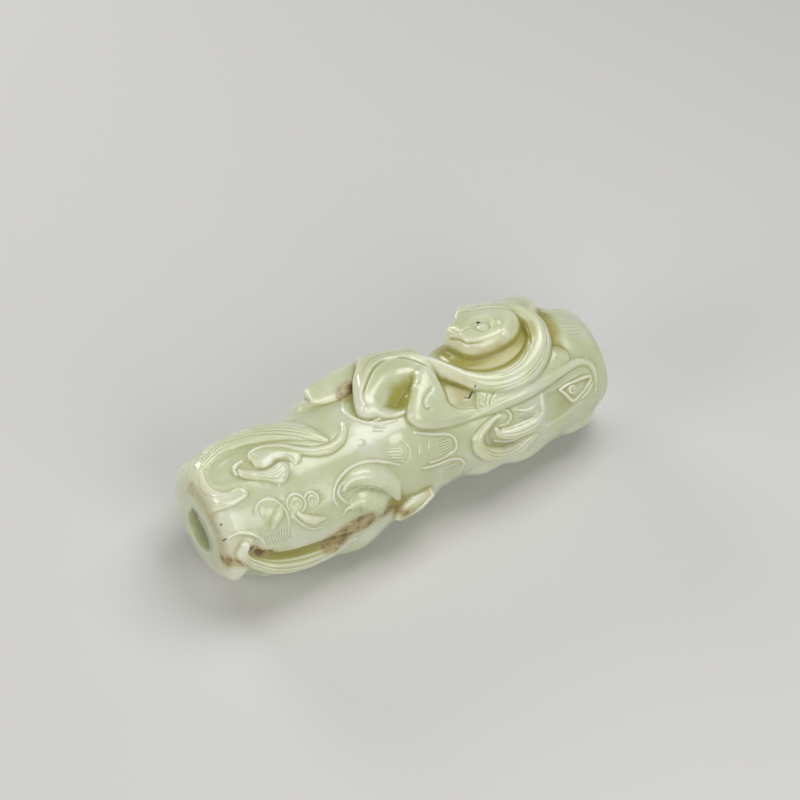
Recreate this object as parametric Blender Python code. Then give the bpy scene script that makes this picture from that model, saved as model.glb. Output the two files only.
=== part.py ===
"""Carved jade tube: a bored cylinder with a dragon coiled over it in high relief.

The tube lies along X on its underside, at z = 0. Its carving is laid out on the
unrolled surface: how far along the tube, and how far round it from the top.
Positive angles turn towards -Y, the front. The carver's unit is a share of the
tube's length, and is 1 mm at the real size.
"""
import math

import bpy
import numpy as np

# Driving dimensions, in metres
LENGTH = 0.089
BELLY_RADIUS = 0.0144
WAIST_RADIUS = 0.0119
SHOULDER_RADIUS = 0.0134
LEFT_RIM_RADIUS = 0.0082
RIGHT_RIM_RADIUS = 0.0092
BORE_DIAMETER = 0.0084
BORE_DROP = 0.0004
BORE_SET_BACK = 0.0012
AXIS_HEIGHT = 0.0140
AXIS_SIDE = -0.00123
FACE_DOME = 0.0004
END_TRIM = 0.00025

# How finely the solid is cut
GRID = 0.42
TRIANGLES = 9200
BORE_SIDES = 40

# Rings on each end face, as shares of its rim's radius
FACE_RINGS = (0.92, 0.8, 0.6, 0.4)

# The carver's unit, and how many of them make one degree round the tube
UNITS_ALONG = 89
UNIT = LENGTH / UNITS_ALONG
ROUND = math.radians(BELLY_RADIUS / UNIT) * 0.92

# How far the rounding of each rim reaches along the tube, and how far the carving
# fades in from the ends, in the carver's units
LEFT_RIM_REACH = 3.2
RIGHT_RIM_REACH = 1.5
FADE = 1.6

# Way that the tube's middle bows, as shares of +Y and +Z
BOW = (0.813, 0.582)

JADE_COLOUR = (0.66, 0.71, 0.50, 1.0)
JADE_ROUGHNESS = 0.22


def smooth_steps(knots, places):
    """Smooth curve through (place, value) knots, read at the given places."""
    at, value = np.array(knots, float).T
    slope = np.gradient(value, at)
    i = np.clip(np.searchsorted(at, places) - 1, 0, len(at) - 2)
    gap = at[i + 1] - at[i]
    t = np.clip((places - at[i]) / gap, 0, 1)
    rise = t * t * (3 - 2 * t)
    leave = t * (1 - t) ** 2 * gap * slope[i]
    reach = t * t * (t - 1) * gap * slope[i + 1]
    return value[i] * (1 - rise) + value[i + 1] * rise + leave + reach


def smooth_route(points, closed=False, turns=6):
    """Catmull-Rom curve through the points, with a few steps between each two."""
    p = np.array(points, float)
    if closed:
        p = np.vstack([p[-1:], p, p[:2]])
    else:
        p = np.vstack([2 * p[0] - p[1], p, 2 * p[-1] - p[-2]])
    curve = []
    for a, b, c, d in zip(p[:-3], p[1:-2], p[2:-1], p[3:]):
        for t in np.arange(turns) / turns:
            bend = (2 * a - 5 * b + 4 * c - d) * t * t
            twist = (3 * b - a - 3 * c + d) * t ** 3
            curve.append(b + 0.5 * ((c - a) * t + bend + twist))
    curve.append(p[-2])
    return np.array(curve)


def curl(along, turn, radius, sweep, start=0.0, shrink=0.35):
    """Points of a small spiral that winds inwards about a place on the surface."""
    points = []
    steps = max(5, int(abs(sweep) / 40))
    for i in range(steps + 1):
        share = i / steps
        angle = math.radians(start + sweep * share)
        r = radius * (1 - (1 - shrink) * share)
        points.append((along + r * math.cos(angle), turn + r * math.sin(angle) / ROUND))
    return points


class Carving:
    """Height of the carving over the bare tube, as a map of the unrolled surface."""

    def __init__(self, step):
        rows = int(round(UNITS_ALONG / step)) + 1
        self.columns = int(round(360 * ROUND / step))
        self.along = np.linspace(0, UNITS_ALONG, rows)
        self.turn = np.arange(self.columns) * 360 / self.columns - 180
        self.height = np.zeros((rows, self.columns))
        self.lean = np.zeros((rows, self.columns))
        self.side = 1
        self.shift = 0

    def window(self, points, reach):
        """Rows and columns of the map that lie within reach of the points."""
        p = np.array(points)
        first = np.searchsorted(self.along, p[:, 0].min() - reach)
        last = np.searchsorted(self.along, p[:, 0].max() + reach)
        rows = np.arange(first, last)
        per_column = 360 / self.columns
        low = math.floor((p[:, 1].min() - reach / ROUND + 180) / per_column)
        high = math.ceil((p[:, 1].max() + reach / ROUND + 180) / per_column)
        columns = np.arange(low, min(high, low + self.columns))
        return rows, columns

    def places(self, rows, columns):
        """Unrolled coordinates of the map's cells, with the turn left unwrapped."""
        turn = columns * 360 / self.columns - 180
        return self.along[rows][:, None], turn[None, :]

    def placed(self, points):
        """Points moved to the side of the tube that is being carved."""
        return [(s, self.side * t + self.shift) for s, t in points]

    def nearest(self, points, reach, closed=False):
        """Distance to a smooth route, and the share of its length to the nearest place."""
        route = smooth_route(self.placed(points), closed)
        rows, columns = self.window(route, reach)
        s, t = self.places(rows, columns)
        away = np.full((len(rows), len(columns)), reach * 1.0)
        share = np.zeros_like(away)
        steps = np.diff(route, axis=0) * (1, ROUND)
        lengths = np.hypot(*steps.T)
        done = np.concatenate([[0], np.cumsum(lengths)])
        for start, step, long, before in zip(route, steps, lengths, done):
            if long < 1e-9:
                continue
            near_s = np.abs(s[:, 0] - start[0]) < reach + long
            near_t = np.abs(t[0] - start[1]) * ROUND < reach + long
            if not near_s.any() or not near_t.any():
                continue
            block = np.ix_(near_s, near_t)
            ds = s[near_s] - start[0]
            dt = (t[:, near_t] - start[1]) * ROUND
            on = np.clip((ds * step[0] + dt * step[1]) / long ** 2, 0, 1)
            gap = np.hypot(ds - on * step[0], dt - on * step[1])
            closer = gap < away[block]
            away[block] = np.where(closer, gap, away[block])
            share[block] = np.where(closer, (before + on * long) / done[-1], share[block])
        return rows, columns, away, share

    def blend(self, rows, columns, form, soft):
        """Lays a form over what is there, with a soft fillet where they meet."""
        cells = np.ix_(rows, columns % self.columns)
        old = self.height[cells]
        near = np.clip(soft - np.abs(old - form), 0, None) / soft
        self.height[cells] = np.maximum(old, form) + near * near * soft / 4

    def ridge(self, points, widths, heights, crown=0.6, soft=0.4):
        """Raised band along a route, of the given half widths and heights along it.

        A crown of 0.5 makes it half round, and a larger one softer at its foot."""
        rows, columns, away, share = self.nearest(points, max(widths) + 1.5)
        half = np.interp(share, np.linspace(0, 1, len(widths)), widths)
        tall = np.interp(share, np.linspace(0, 1, len(heights)), heights)
        x = away / half
        inside = np.clip(1 - x * x, 0, 1) ** crown
        form = tall * inside - np.clip(x - 1, 0, None) * half * 2
        self.blend(rows, columns, form, soft)

    def bead(self, points):
        """Thin raised line along a route, fine at both ends."""
        self.ridge(points, (0.3, 0.5, 0.5, 0.3), (0.2, 0.4, 0.4, 0.2), crown=0.9, soft=0.2)

    def inside(self, outline, s, t):
        """Which cells lie inside a closed outline."""
        inside = np.zeros((s.shape[0], t.shape[1]), bool)
        route = smooth_route(self.placed(outline), closed=True)
        for (s1, t1), (s2, t2) in zip(route[:-1], route[1:]):
            if t1 == t2:
                continue
            spans = (t1 > t) != (t2 > t)
            inside ^= spans & (s < (s2 - s1) * (t - t1) / (t2 - t1) + s1)
        return inside

    def plateau(self, outline, height, shoulder, soft=0.5):
        """Raised area inside an outline, with a rounded shoulder along its edge.

        Its height is a number, or a function of the place on the surface."""
        rows, columns, away, _ = self.nearest(outline, shoulder + 3, closed=True)
        s, t = self.places(rows, columns)
        q = np.clip(away / shoulder, 0, 1)
        rounded = np.sqrt(np.clip(1 - (1 - q) ** 2, 0, 1))
        top = height(s, (t - self.shift) * self.side) if callable(height) else height
        form = np.where(self.inside(outline, s, t), top * rounded, -away * 3)
        self.blend(rows, columns, form, soft)

    def sink(self, outline, depth, slope):
        """Lowered ground inside an outline, sloping down from its edge."""
        rows, columns, away, _ = self.nearest(outline, slope + 2, closed=True)
        s, t = self.places(rows, columns)
        q = np.clip(away / slope, 0, 1)
        bowl = np.where(self.inside(outline, s, t), q * q * (3 - 2 * q), 0)
        self.height[np.ix_(rows, columns % self.columns)] -= depth * bowl

    def swell(self, along, turn, long, wide, rise, lean=0.0):
        """Adds a soft mound, or a hollow where its rise is negative."""
        (along, turn), = self.placed([(along, turn)])
        rows, columns = self.window([(along, turn)], max(long, wide))
        s, t = self.places(rows, columns)
        x = ((s - along) / long) ** 2 + ((t - turn) * ROUND / wide) ** 2
        bell = (1 - np.clip(x, 0, 1)) ** 2
        cells = np.ix_(rows, columns % self.columns)
        self.height[cells] += rise * bell
        self.lean[cells] += lean * bell


def carve_broad_ground(carving):
    """Hollows and swellings that the carving stands in."""
    carving.swell(37, 86, 5, 4, -0.9)
    carving.swell(20, 130, 14, 5, 0.8)
    carving.swell(29.5, 122, 7, 6, 1.3)
    carving.swell(45.5, 122, 3.5, 5, 0.5)
    carving.swell(67, 118, 7, 5, 0.9)
    carving.swell(58.6, 120, 5, 4.5, 1.1)
    carving.swell(45, 78, 5, 6, -0.4)
    carving.swell(22.5, -57, 6, 5.5, -1.1)
    carving.swell(30, -50, 5, 5, 1.5)
    carving.swell(80.6, 122, 4.4, 5, 0.9)
    carving.swell(83.4, 118, 3.0, 4, 0.5)
    carving.swell(83, -54, 2.6, 5, 0.9)
    carving.swell(2, 122, 3.0, 7, 0.5)
    carving.swell(5.4, 122, 3.2, 6, -1.4)


def carve_upper_lock(carving):
    """Broad lock that sweeps along the rim and over the top to a point, with its curled stem."""
    hollow = [(6.4, 16.5), (4.0, 13.5), (2.4, 7), (1.9, -3), (2.9, -13), (5.8, -21), (10.4, -23.5),
              (15, -17),
              (19.6, -8), (23.6, 4), (25.4, 12), (22, 15), (15, 16), (10, 18)]
    carving.sink(hollow, 0.55, 2.0)
    lock = [(6.6, 24), (4.2, 25), (1.6, 19), (0.4, 6), (0.6, -8), (2.4, -22), (6.4, -31), (11.4, -34),
            (16.4, -29), (20.6, -20), (24.2, -7), (27.2, 8)]
    carving.ridge(lock, (1.3, 1.9, 2.0, 2.1, 2.5, 3.2, 3.4, 3.1, 2.2, 0.5),
                  (0.7, 0.9, 0.7, 0.6, 0.7, 1.1, 1.3, 1.2, 1.0, 0.3), crown=0.45, soft=0.4)
    stem = [(12.0, -3), (12.6, -7.4), (14.2, -9.4), (16.2, -7.4), (18.9, -1), (20.8, 6.5), (23.4, 13),
            (26.4, 16),
            (29.4, 13.5), (31.4, 7), (32.4, -1)]
    carving.ridge(stem, (0.3, 0.45, 0.6, 0.9, 1.1, 0.9, 0.4), (0.3, 0.5, 0.7, 0.9, 1.0, 0.8, 0.3),
                  crown=0.7, soft=0.3)


def carve_scroll(carving):
    """S-shaped scroll of two lobes below the lock's stem."""
    upper = [(12.0, 1), (12.3, -5), (14.2, -8.6), (16.2, -6.6), (18.7, -0.6), (20.5, 5), (21.2, 11),
             (20.4, 15.8),
             (19.1, 17.4), (18.6, 12.8), (17.7, 8.4), (16.2, 6.8), (14.9, 9.2), (13.4, 10), (12.2, 6)]
    carving.plateau(upper, 0.5, 1.5, soft=0.3)
    lower = [(8.6, 3), (8.3, 9), (9.6, 15.5), (12.0, 20.5), (13.9, 26.4), (15.4, 27.4), (17.1, 21.5),
             (17.6, 14.5),
             (16.6, 10.6), (14.8, 12.6), (12.6, 12.4), (10.6, 8)]
    carving.plateau(lower, lambda s, t: 0.65 + 0.02 * t + 0 * s, 2.0, soft=0.3)


def carve_small_rings(carving):
    """Hooked cheek, and two rings with a curled lobe at mid height."""
    carving.swell(10.6, 47, 2.8, 3.2, 0.35)
    carving.ridge([(12.7, 44), (11.7, 48.5), (10.5, 53), (9.8, 58)], (0.5, 1.1, 1.1, 0.5),
                   (0.4, 0.8, 0.8, 0.3),
                  crown=0.8, soft=0.4)
    carving.bead([(7.5, 44), (7.9, 39.5), (8.8, 36.2), (10.3, 35), (11.8, 37.4), (12.8, 44), (13.2, 51),
                  (13.0, 58), (12.7, 64)])
    for along, turn, radius in ((15.7, 46.5, 1.9), (18.9, 47.4, 1.4)):
        carving.bead(curl(along, turn, radius, 300, start=160, shrink=0.92))
    carving.bead([(14.4, 55), (15.2, 61), (16.9, 67), (19.4, 70)])
    carving.ridge([(15.4, 54.5), (16.4, 59.5), (18.0, 64), (20.2, 66)], (0.5, 0.9, 0.9, 0.4),
                  (0.4, 0.8, 0.8, 0.2), soft=0.3)


def carve_lower_lock(carving):
    """Lock along the lower front edge, with a hollow above it and a thin arc round its head."""
    carving.sink([(4.6, 78), (6.6, 86), (11, 93.5), (16, 98), (22, 99), (28, 96), (25, 89), (18, 85),
                  (12, 83.5), (8, 79), (6, 74)], 0.8, 1.6)
    lock = [(3.7, 68), (2.9, 76), (3.8, 86), (7.2, 96), (12.5, 103), (19, 106), (26, 104)]
    carving.ridge(lock, (0.8, 1.5, 2.0, 2.2, 2.2, 1.9, 0.8), (0.9, 1.5, 1.9, 1.9, 1.7, 1.2, 0.3),
                  crown=0.6, soft=0.3)
    carving.bead([(1.4, 57), (3, 55.5), (5, 58.5), (6.6, 64), (7.4, 71)])


def carve_comma_pair(carving):
    """Two nested commas round a low boss."""
    carving.bead([(23.6, 61), (23.2, 54), (24.0, 46.5), (25.8, 40.5), (28.6, 36.8), (31.6, 36.8),
                  (34.2, 40),
                  (36.6, 45.5), (38.8, 52)])
    crest = [(25.9, 50), (27, 46.6), (29, 45.4), (31.4, 48), (33.6, 54), (35.4, 62), (36.4, 71),
             (36.9, 81)]
    carving.ridge(crest, (0.5, 1.3, 2.1, 2.5, 2.4, 2.0, 1.3, 0.6),
(0.3, 0.8, 1.3, 1.5, 1.3, 1.0, 0.6, 0.15),
                  crown=1.1, soft=0.6)
    boss = [(26.6, 65.5), (28.6, 65), (30.8, 69.5), (32.2, 76.5), (32.2, 84)]
    carving.ridge(boss, (0.8, 1.7, 2.3, 2.3, 1.2), (0.5, 1.2, 1.4, 1.1, 0.2), crown=1.1, soft=0.7)


def carve_lug(carving):
    """Pointed leaf at the lower edge, under the waist."""
    leaf = [(36.6, 94), (39, 89), (42.6, 89), (44.9, 94), (42.8, 103), (38.4, 111), (35.8, 105)]
    carving.plateau(leaf, 1.5, 1.5)
    carving.ridge([(38.4, 103), (41.4, 98), (44.3, 92.5)], (0.5, 0.7, 0.4), (1.7, 2.1, 1.9), soft=0.3)


def carve_waist_locks(carving):
    """Outlines of the flat locks on the waist."""
    carving.swell(40.2, 40, 3.0, 3.2, 0.45)
    carving.bead([(44.4, 34), (48.0, 43), (51.4, 51), (52.2, 60), (51.4, 68), (48.6, 69), (45.6, 66)])
    carving.bead([(43.6, 66.5), (47.0, 71.4), (51.0, 76), (53.0, 85), (52.8, 94), (51.2, 103)])


def wing_height(s, t):
    """Height of the wing's slanting face."""
    return 0.6 + (3.1 + 0.19 * (np.minimum(s, 39) - 32)) * np.clip((-36 - t) / 16, 0, 1)


def coil_height(s, t):
    """Height of the coiled body, which is greatest on top and falls away to the right."""
    fall = 0.1 * np.clip(s - 48, 0, None) * np.clip((-20 - t) / 25, 0, 1)
    return np.interp(-t, (-12, 0, 15, 33, 46, 62), (2.0, 3.0, 4.2, 5.3, 5.7, 5.4)) - fall


def haunch_height(s, t):
    """Height of the haunch, which slopes down to the front and to its long point."""
    return 3.7 - 0.062 * (t - 5) - 0.1 * np.clip(s - 51, 0, None)


def crown_height(s, t):
    """Height of the head's crown, by how far along the tube it is."""
    return np.interp(s, (68, 71, 74, 77, 81), (6.2, 5.4, 4.8, 4.3, 3.9)) + 0 * t


def cheek_height(s, t):
    """Height of the head's near cheek, which slopes down to the jaw."""
    return 4.7 + 0.03 * np.clip(-t, -4, 34) + 0 * s


def carve_wing(carving):
    """Wing on the far side: a slanting flat face with a bevelled upper edge."""
    outline = [(31.2, -56), (30.6, -44), (30.8, -38), (34, -35.5), (38, -36), (42, -42), (46, -56),
               (44.5, -76),
               (37, -78), (32.4, -70)]
    carving.plateau(outline, wing_height, 0.9, soft=0.3)


def carve_body(carving):
    """The dragon's coiled body, its bowl with a pit, its haunch and the neck."""
    mass = [(38.2, 8), (36.2, 3), (35.9, -4), (36.8, -14), (37.6, -21), (38.9, -30), (41.4, -42),
            (43.6, -58),
            (47, -67), (51, -60), (54.4, -44), (55.8, -28), (55.6, -14), (54.8, -3), (53.2, 7),
            (50, 16),
            (44, 16), (41, 13)]
    carving.plateau(mass, coil_height, 2.3, soft=0.5)
    bowl = [(38.9, 5), (39.4, -3), (41.2, -9), (44, -14.5), (47.2, -17), (50, -14), (51.2, -6),
            (50.4, 3),
            (48, 12), (45, 19), (41.6, 16), (39.6, 11)]
    carving.sink(bowl, 2.7, 4.6)
    carving.swell(43.4, 6.5, 3.2, 2.6, -0.9)
    haunch = [(47.4, 2), (46.2, 8), (44.9, 15), (44.2, 23), (45.8, 33), (50, 40.8), (54, 44.3),
              (58, 45.5),
              (61, 44), (57.8, 38), (55.2, 33), (53.8, 24), (54.2, 13), (54.6, 0), (53.8, -13),
              (50.4, -11),
              (48.6, -4)]
    carving.plateau(haunch, haunch_height, 2.6, soft=1.8)
    floor = [(58.5, -54), (57.6, -20), (58.6, 0), (61.5, 12), (66, 20), (71, 18), (75, 8), (77, -8),
             (77, -30), (74, -52), (66, -60)]
    carving.plateau(floor, 1.2, 1.5, soft=1.0)
    apron = [(59.6, 29), (60.4, 25), (64, 31), (69, 33), (74, 27), (78, 16), (80.6, 24), (80.4, 36),
             (75, 42),
             (68, 45), (61, 46), (58.6, 42)]
    carving.plateau(apron, 1.2, 2.4, soft=1.2)
    neck = [(50.6, -34), (53.8, -18), (56.2, -6), (57.9, 3), (60.0, 13), (62.8, 21.5), (66.4, 26.6),
            (70.2, 26.2),
            (73.5, 21), (76, 12.5), (77.2, 3), (77.5, -8), (76.4, -20), (74, -29)]
    carving.ridge(neck, (2.6, 2.2, 1.7, 1.5, 1.7, 2.2, 2.7, 2.9, 3.0, 2.9, 2.7, 2.6, 2.6, 2.6),
                  (5.0, 4.9, 4.4, 3.5, 2.7, 2.4, 2.4, 2.6, 3.1, 3.7, 4.2, 4.5, 4.7, 4.6),
                  crown=0.6, soft=0.9)
    brow = [(58, 43), (64, 43), (69, 42), (74, 40.5), (79, 39), (82.4, 40), (84.4, 45), (85.3, 54),
            (85.1, 66),
            (84.4, 78)]
    carving.ridge(brow, (1.0, 1.5, 1.7, 1.8, 1.7, 1.4, 1.0, 0.7, 0.6, 0.5),
                  (0.6, 1.0, 1.2, 1.4, 1.3, 1.1, 0.8, 0.6, 0.5, 0.3), crown=0.8, soft=0.4)


def carve_head(carving):
    """Head turned back along the tube: near cheek with its eye and brow, and the crown behind it."""
    crown = [(63.8, -34), (65.0, -46), (68.2, -60), (75, -68), (81.4, -58), (82.6, -40), (81, -25),
             (77, -16), (70, -26)]
    carving.plateau(crown, crown_height, 2.6, soft=0.6)
    cheek = [(61.6, -33), (60.9, -22), (61.1, -11), (62.1, -4), (63.8, 1.2), (66.2, 3.8), (69.2, 4.4),
             (72, 1.8), (74.2, -4), (75.8, -13), (75.4, -25), (72, -36), (68, -42), (64.4, -41)]
    carving.plateau(cheek, cheek_height, 2.2, soft=0.4)
    carving.swell(62, -28, 2.8, 3.2, 0.0, lean=-1.0)
    carving.bead([(64.4, -21), (65.4, -25.5), (67.2, -27.6), (69.2, -25), (70.8, -18.4), (71.1, -11.4),
                  (70.3, -5)])
    carving.swell(67.2, -12.6, 1.6, 1.3, 0.4)


def carve_lower_scroll(carving):
    """Scroll under the neck: a broad C round a tongue."""
    carving.sink([(59.0, 63), (58.4, 73), (59.2, 81), (61.6, 87), (64.6, 90), (67.2, 87), (68.8, 82),
                  (65.6, 79.5), (62, 78), (60.4, 70), (60.4, 61)], 0.4, 1.0)
    outer = [(62.4, 52.5), (60.2, 55.5), (57.8, 61.5), (56.7, 69), (56.9, 78), (58.4, 87.5), (61.4, 95),
             (65.4, 95.5), (69, 88)]
    carving.ridge(outer, (0.4, 0.9, 1.3, 1.6, 2.0, 2.1, 1.7, 0.7),
                  (0.4, 0.9, 1.2, 1.4, 1.6, 1.5, 1.0, 0.3),
                  crown=0.7, soft=0.4)
    tongue = [(60.9, 64), (61.5, 69.5), (63.8, 73.4), (66.6, 74.2), (69.4, 72.5), (71.2, 67)]
    carving.ridge(tongue, (0.5, 1.3, 1.7, 1.7, 1.3, 0.4), (0.6, 1.1, 1.3, 1.2, 0.9, 0.3),
                  crown=0.7, soft=0.3)
    carving.swell(62.9, 55.5, 1.5, 1.3, 0.35)
    carving.sink([(65.4, 61.5), (66.6, 59.5), (69, 60.5), (70.2, 65), (69.0, 69.8),
                  (66.6, 68)], 0.3, 0.9)


def carve_mask(carving):
    """The beast's mask at the right end: a sunk cheek round the eye."""
    cheek = [(72.6, 51), (76, 50.5), (80.6, 50), (83.8, 53), (84.4, 62), (83.4, 72), (79, 80), (74, 84),
             (71.2, 80), (71.8, 66)]
    carving.sink(cheek, 0.5, 1.2)
    carving.bead([(72.3, 49), (71.7, 58), (71.2, 68), (70.3, 77)])
    eye = [(76.5, 55.6), (77.3, 61), (78.0, 67), (79.0, 73), (80.6, 70.4), (82.5, 66.4), (83.9, 62.4),
           (84.1, 59),
           (82.9, 56.6), (80.8, 55.4), (78.4, 54.6)]
    carving.plateau(eye, 0.4, 1.4, soft=0.3)


def carve_far_tail(carving):
    """Plainer tail and foot on the side that faces away."""
    tail = [(46, -58), (43, -82), (36, -98), (27, -102), (18, -94), (14, -80), (17, -69), (21, -72)]
    carving.ridge(tail, (2.8, 2.4, 2.1, 1.7, 1.3, 0.5), (3.8, 2.6, 1.9, 1.5, 1.2, 0.3))
    carving.swell(55, -92, 6.5, 5.0, 2.4)
    for along, turn in ((60.5, -82), (62, -91), (61.5, -100)):
        carving.ridge([(56, -91), (along - 1.5, turn), (along, turn - 1)], (1.3, 0.9, 0.6),
                      (2.2, 1.6, 0.7))


def carve_hidden_sides(carving):
    """The front's scrolls again, mirrored on the far side and turned under the tube."""
    carving.side = -1
    carving.shift = -46
    carve_lower_scroll(carving)
    carve_mask(carving)
    carving.shift = -82
    carve_comma_pair(carving)
    carving.side = 1
    carving.shift = 0
    carve_far_tail(carving)


def rest_pads(carving):
    """Swelling under the shoulder, so that it reaches the ground with the belly."""
    carving.swell(70, 180, 10, 7.5, 1.25)


def carve_all(step):
    """The whole carving as one map."""
    carving = Carving(step)
    carve_broad_ground(carving)
    rest_pads(carving)
    carve_upper_lock(carving)
    carve_scroll(carving)
    carve_small_rings(carving)
    carve_lower_lock(carving)
    carve_comma_pair(carving)
    carve_lug(carving)
    carve_waist_locks(carving)
    carve_lower_scroll(carving)
    carve_mask(carving)
    carve_hidden_sides(carving)
    carve_wing(carving)
    carve_body(carving)
    carve_head(carving)
    return carving


def tube_radius(along):
    """Radius of the bare tube along its length, with both rims rounded over."""
    belly, waist, shoulder = (r / UNIT for r in (BELLY_RADIUS, WAIST_RADIUS, SHOULDER_RADIUS))
    swelling = [(0, belly * 0.83), (3, belly * 0.868), (5, belly * 0.9), (8, belly * 0.955),
                (12, belly * 0.985),
                (18, belly), (28, belly * 0.995), (37, belly * 0.945), (44, (belly + waist) / 2),
                (50, waist * 1.015), (55, waist), (62, (waist + shoulder) / 2), (69, shoulder),
                (76, shoulder * 0.97), (81, shoulder * 0.93), (83.4, shoulder * 0.905),
                (86, shoulder * 0.825), (UNITS_ALONG, shoulder * 0.725)]
    radius = smooth_steps(swelling, along)
    for rim, from_end, reach in ((LEFT_RIM_RADIUS, along, LEFT_RIM_REACH),
                                 (RIGHT_RIM_RADIUS, UNITS_ALONG - along, RIGHT_RIM_REACH)):
        drop = radius - rim / UNIT
        x = np.clip(1 - from_end / reach, 0, 1)
        radius = radius - drop * (1 - np.sqrt(1 - x * x))
    return radius


def tube_bow(along):
    """How far the tube's middle bows up and back from its straight axis."""
    knots = [(0, 1.3), (2.5, 1.7), (5, 1.6), (9, 1.1), (14, 0.6), (24, 0.0), (36, -0.2), (50, 0.3),
             (62, 0.2),
             (76, 0.2), (86, 0.4), (UNITS_ALONG, 0.5)]
    return smooth_steps(knots, along)


def end_ring(rim, share, way):
    """Ring on an end face, at a share of the rim's radius, where the face domes out."""
    middle = rim.mean(axis=0)
    ring = middle + (rim - middle) * share
    ring[:, 0] += way * FACE_DOME * (1 - share ** 2)
    return ring


def carved_mesh(name, carving):
    """Closed mesh of the tube with its carving, before the bore is drilled."""
    along = carving.along
    turn = np.radians(carving.turn)[None, :]
    fade = np.clip(np.minimum(along, UNITS_ALONG - along) / FADE, 0, 1)[:, None]
    fade = fade * (2 - fade)
    radius = tube_radius(along)[:, None] + carving.height * fade
    bow = tube_bow(along)[:, None]
    grid = np.empty(radius.shape + (3,))
    grid[..., 0] = along[:, None] - UNITS_ALONG / 2 + carving.lean * fade
    grid[..., 1] = bow * BOW[0] - radius * np.sin(turn)
    grid[..., 2] = bow * BOW[1] + radius * np.cos(turn)
    grid *= UNIT
    grid += (0, AXIS_SIDE, AXIS_HEIGHT)
    rings = [end_ring(grid[0], share, -1) for share in FACE_RINGS[::-1]]
    rings += [grid] + [end_ring(grid[-1], share, 1) for share in FACE_RINGS]
    grid = np.vstack([ring.reshape(-1, len(carving.turn), 3) for ring in rings])
    return closed_mesh(name, grid)


def closed_mesh(name, grid):
    """Mesh of rows of points round the tube, closed with a fan at each end."""
    rows, columns = grid.shape[:2]
    ends = [grid[0].mean(axis=0), grid[-1].mean(axis=0)]
    vertices = np.vstack([grid.reshape(-1, 3), ends])
    row, column = np.meshgrid(np.arange(rows - 1), np.arange(columns), indexing="ij")
    after = (column + 1) % columns
    quads = np.stack([row * columns + column, row * columns + after,
                      (row + 1) * columns + after, (row + 1) * columns + column], axis=-1)
    ring = np.arange(columns)
    after = (ring + 1) % columns
    left = np.stack([np.full(columns, rows * columns), after, ring], axis=-1)
    last = (rows - 1) * columns
    right = np.stack([np.full(columns, rows * columns + 1), last + ring, last + after], axis=-1)
    mesh = bpy.data.meshes.new(name)
    faces = quads.reshape(-1, 4).tolist() + left.tolist() + right.tolist()
    mesh.from_pydata(vertices.tolist(), [], faces)
    mesh.validate()
    mesh.update()
    return mesh


def jade_material():
    """Pale celadon jade, polished."""
    material = bpy.data.materials.new("celadon_jade")
    material.use_nodes = True
    shader = material.node_tree.nodes["Principled BSDF"]
    shader.inputs["Base Color"].default_value = JADE_COLOUR
    shader.inputs["Roughness"].default_value = JADE_ROUGHNESS
    shader.inputs["Metallic"].default_value = 0.0
    return material


def cutter(name, piece):
    """Marks an object as a cutter of the piece."""
    tool = bpy.context.object
    tool.name = name
    tool.hide_render = True
    tool.display_type = "WIRE"
    cut = piece.modifiers.new(name, "BOOLEAN")
    cut.operation = "DIFFERENCE"
    cut.solver = "EXACT"
    cut.object = tool
    return tool


def box_cutter(name, piece, low, high):
    """Cuts away everything of the piece between two corners of a box."""
    low, high = np.array(low), np.array(high)
    bpy.ops.mesh.primitive_cube_add(size=1, location=(low + high) / 2, scale=high - low)
    bpy.ops.object.transform_apply(location=False, rotation=False, scale=True)
    cutter(name, piece)


def build():
    """Makes the jade tube: carved form, bore, flat ends and flat underside."""
    for old in list(bpy.data.objects):
        bpy.data.objects.remove(old, do_unlink=True)
    mesh = carved_mesh("jade_tube", carve_all(GRID))
    mesh.materials.append(jade_material())
    piece = bpy.data.objects.new("jade_tube", mesh)
    bpy.context.scene.collection.objects.link(piece)
    triangles = sum(len(face.vertices) - 2 for face in mesh.polygons)
    thin = piece.modifiers.new("fewer_facets", "DECIMATE")
    thin.ratio = TRIANGLES / triangles
    bore_place = (0, AXIS_SIDE + BORE_SET_BACK, AXIS_HEIGHT - BORE_DROP)
    bpy.ops.mesh.primitive_cylinder_add(vertices=BORE_SIDES, radius=BORE_DIAMETER / 2,
                                        depth=LENGTH * 1.2, location=bore_place,
                                        rotation=(0, math.pi / 2, 0))
    cutter("bore_cutter", piece)
    face = LENGTH / 2 + FACE_DOME - END_TRIM
    far = LENGTH
    wide = BELLY_RADIUS * 3
    box_cutter("left_face_cutter", piece, (-far, -wide, -wide), (-face, wide, wide))
    box_cutter("right_face_cutter", piece, (face, -wide, -wide), (far, wide, wide))
    box_cutter("underside_cutter", piece, (-far, -wide, -wide), (far, wide, 0))


build()
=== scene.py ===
"""Looks of the carved jade tube: its fine carving, its stained and polished stone, and its stage.

The tube's carving is laid out on the unrolled surface: how far along the tube, and how far
round it from the top. Positive angles turn towards -Y, the front. The carver's unit is a
share of the tube's length, and is 1 mm at the real size.
"""
import math

import bpy
import numpy as np
from mathutils import Matrix, Vector


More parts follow.
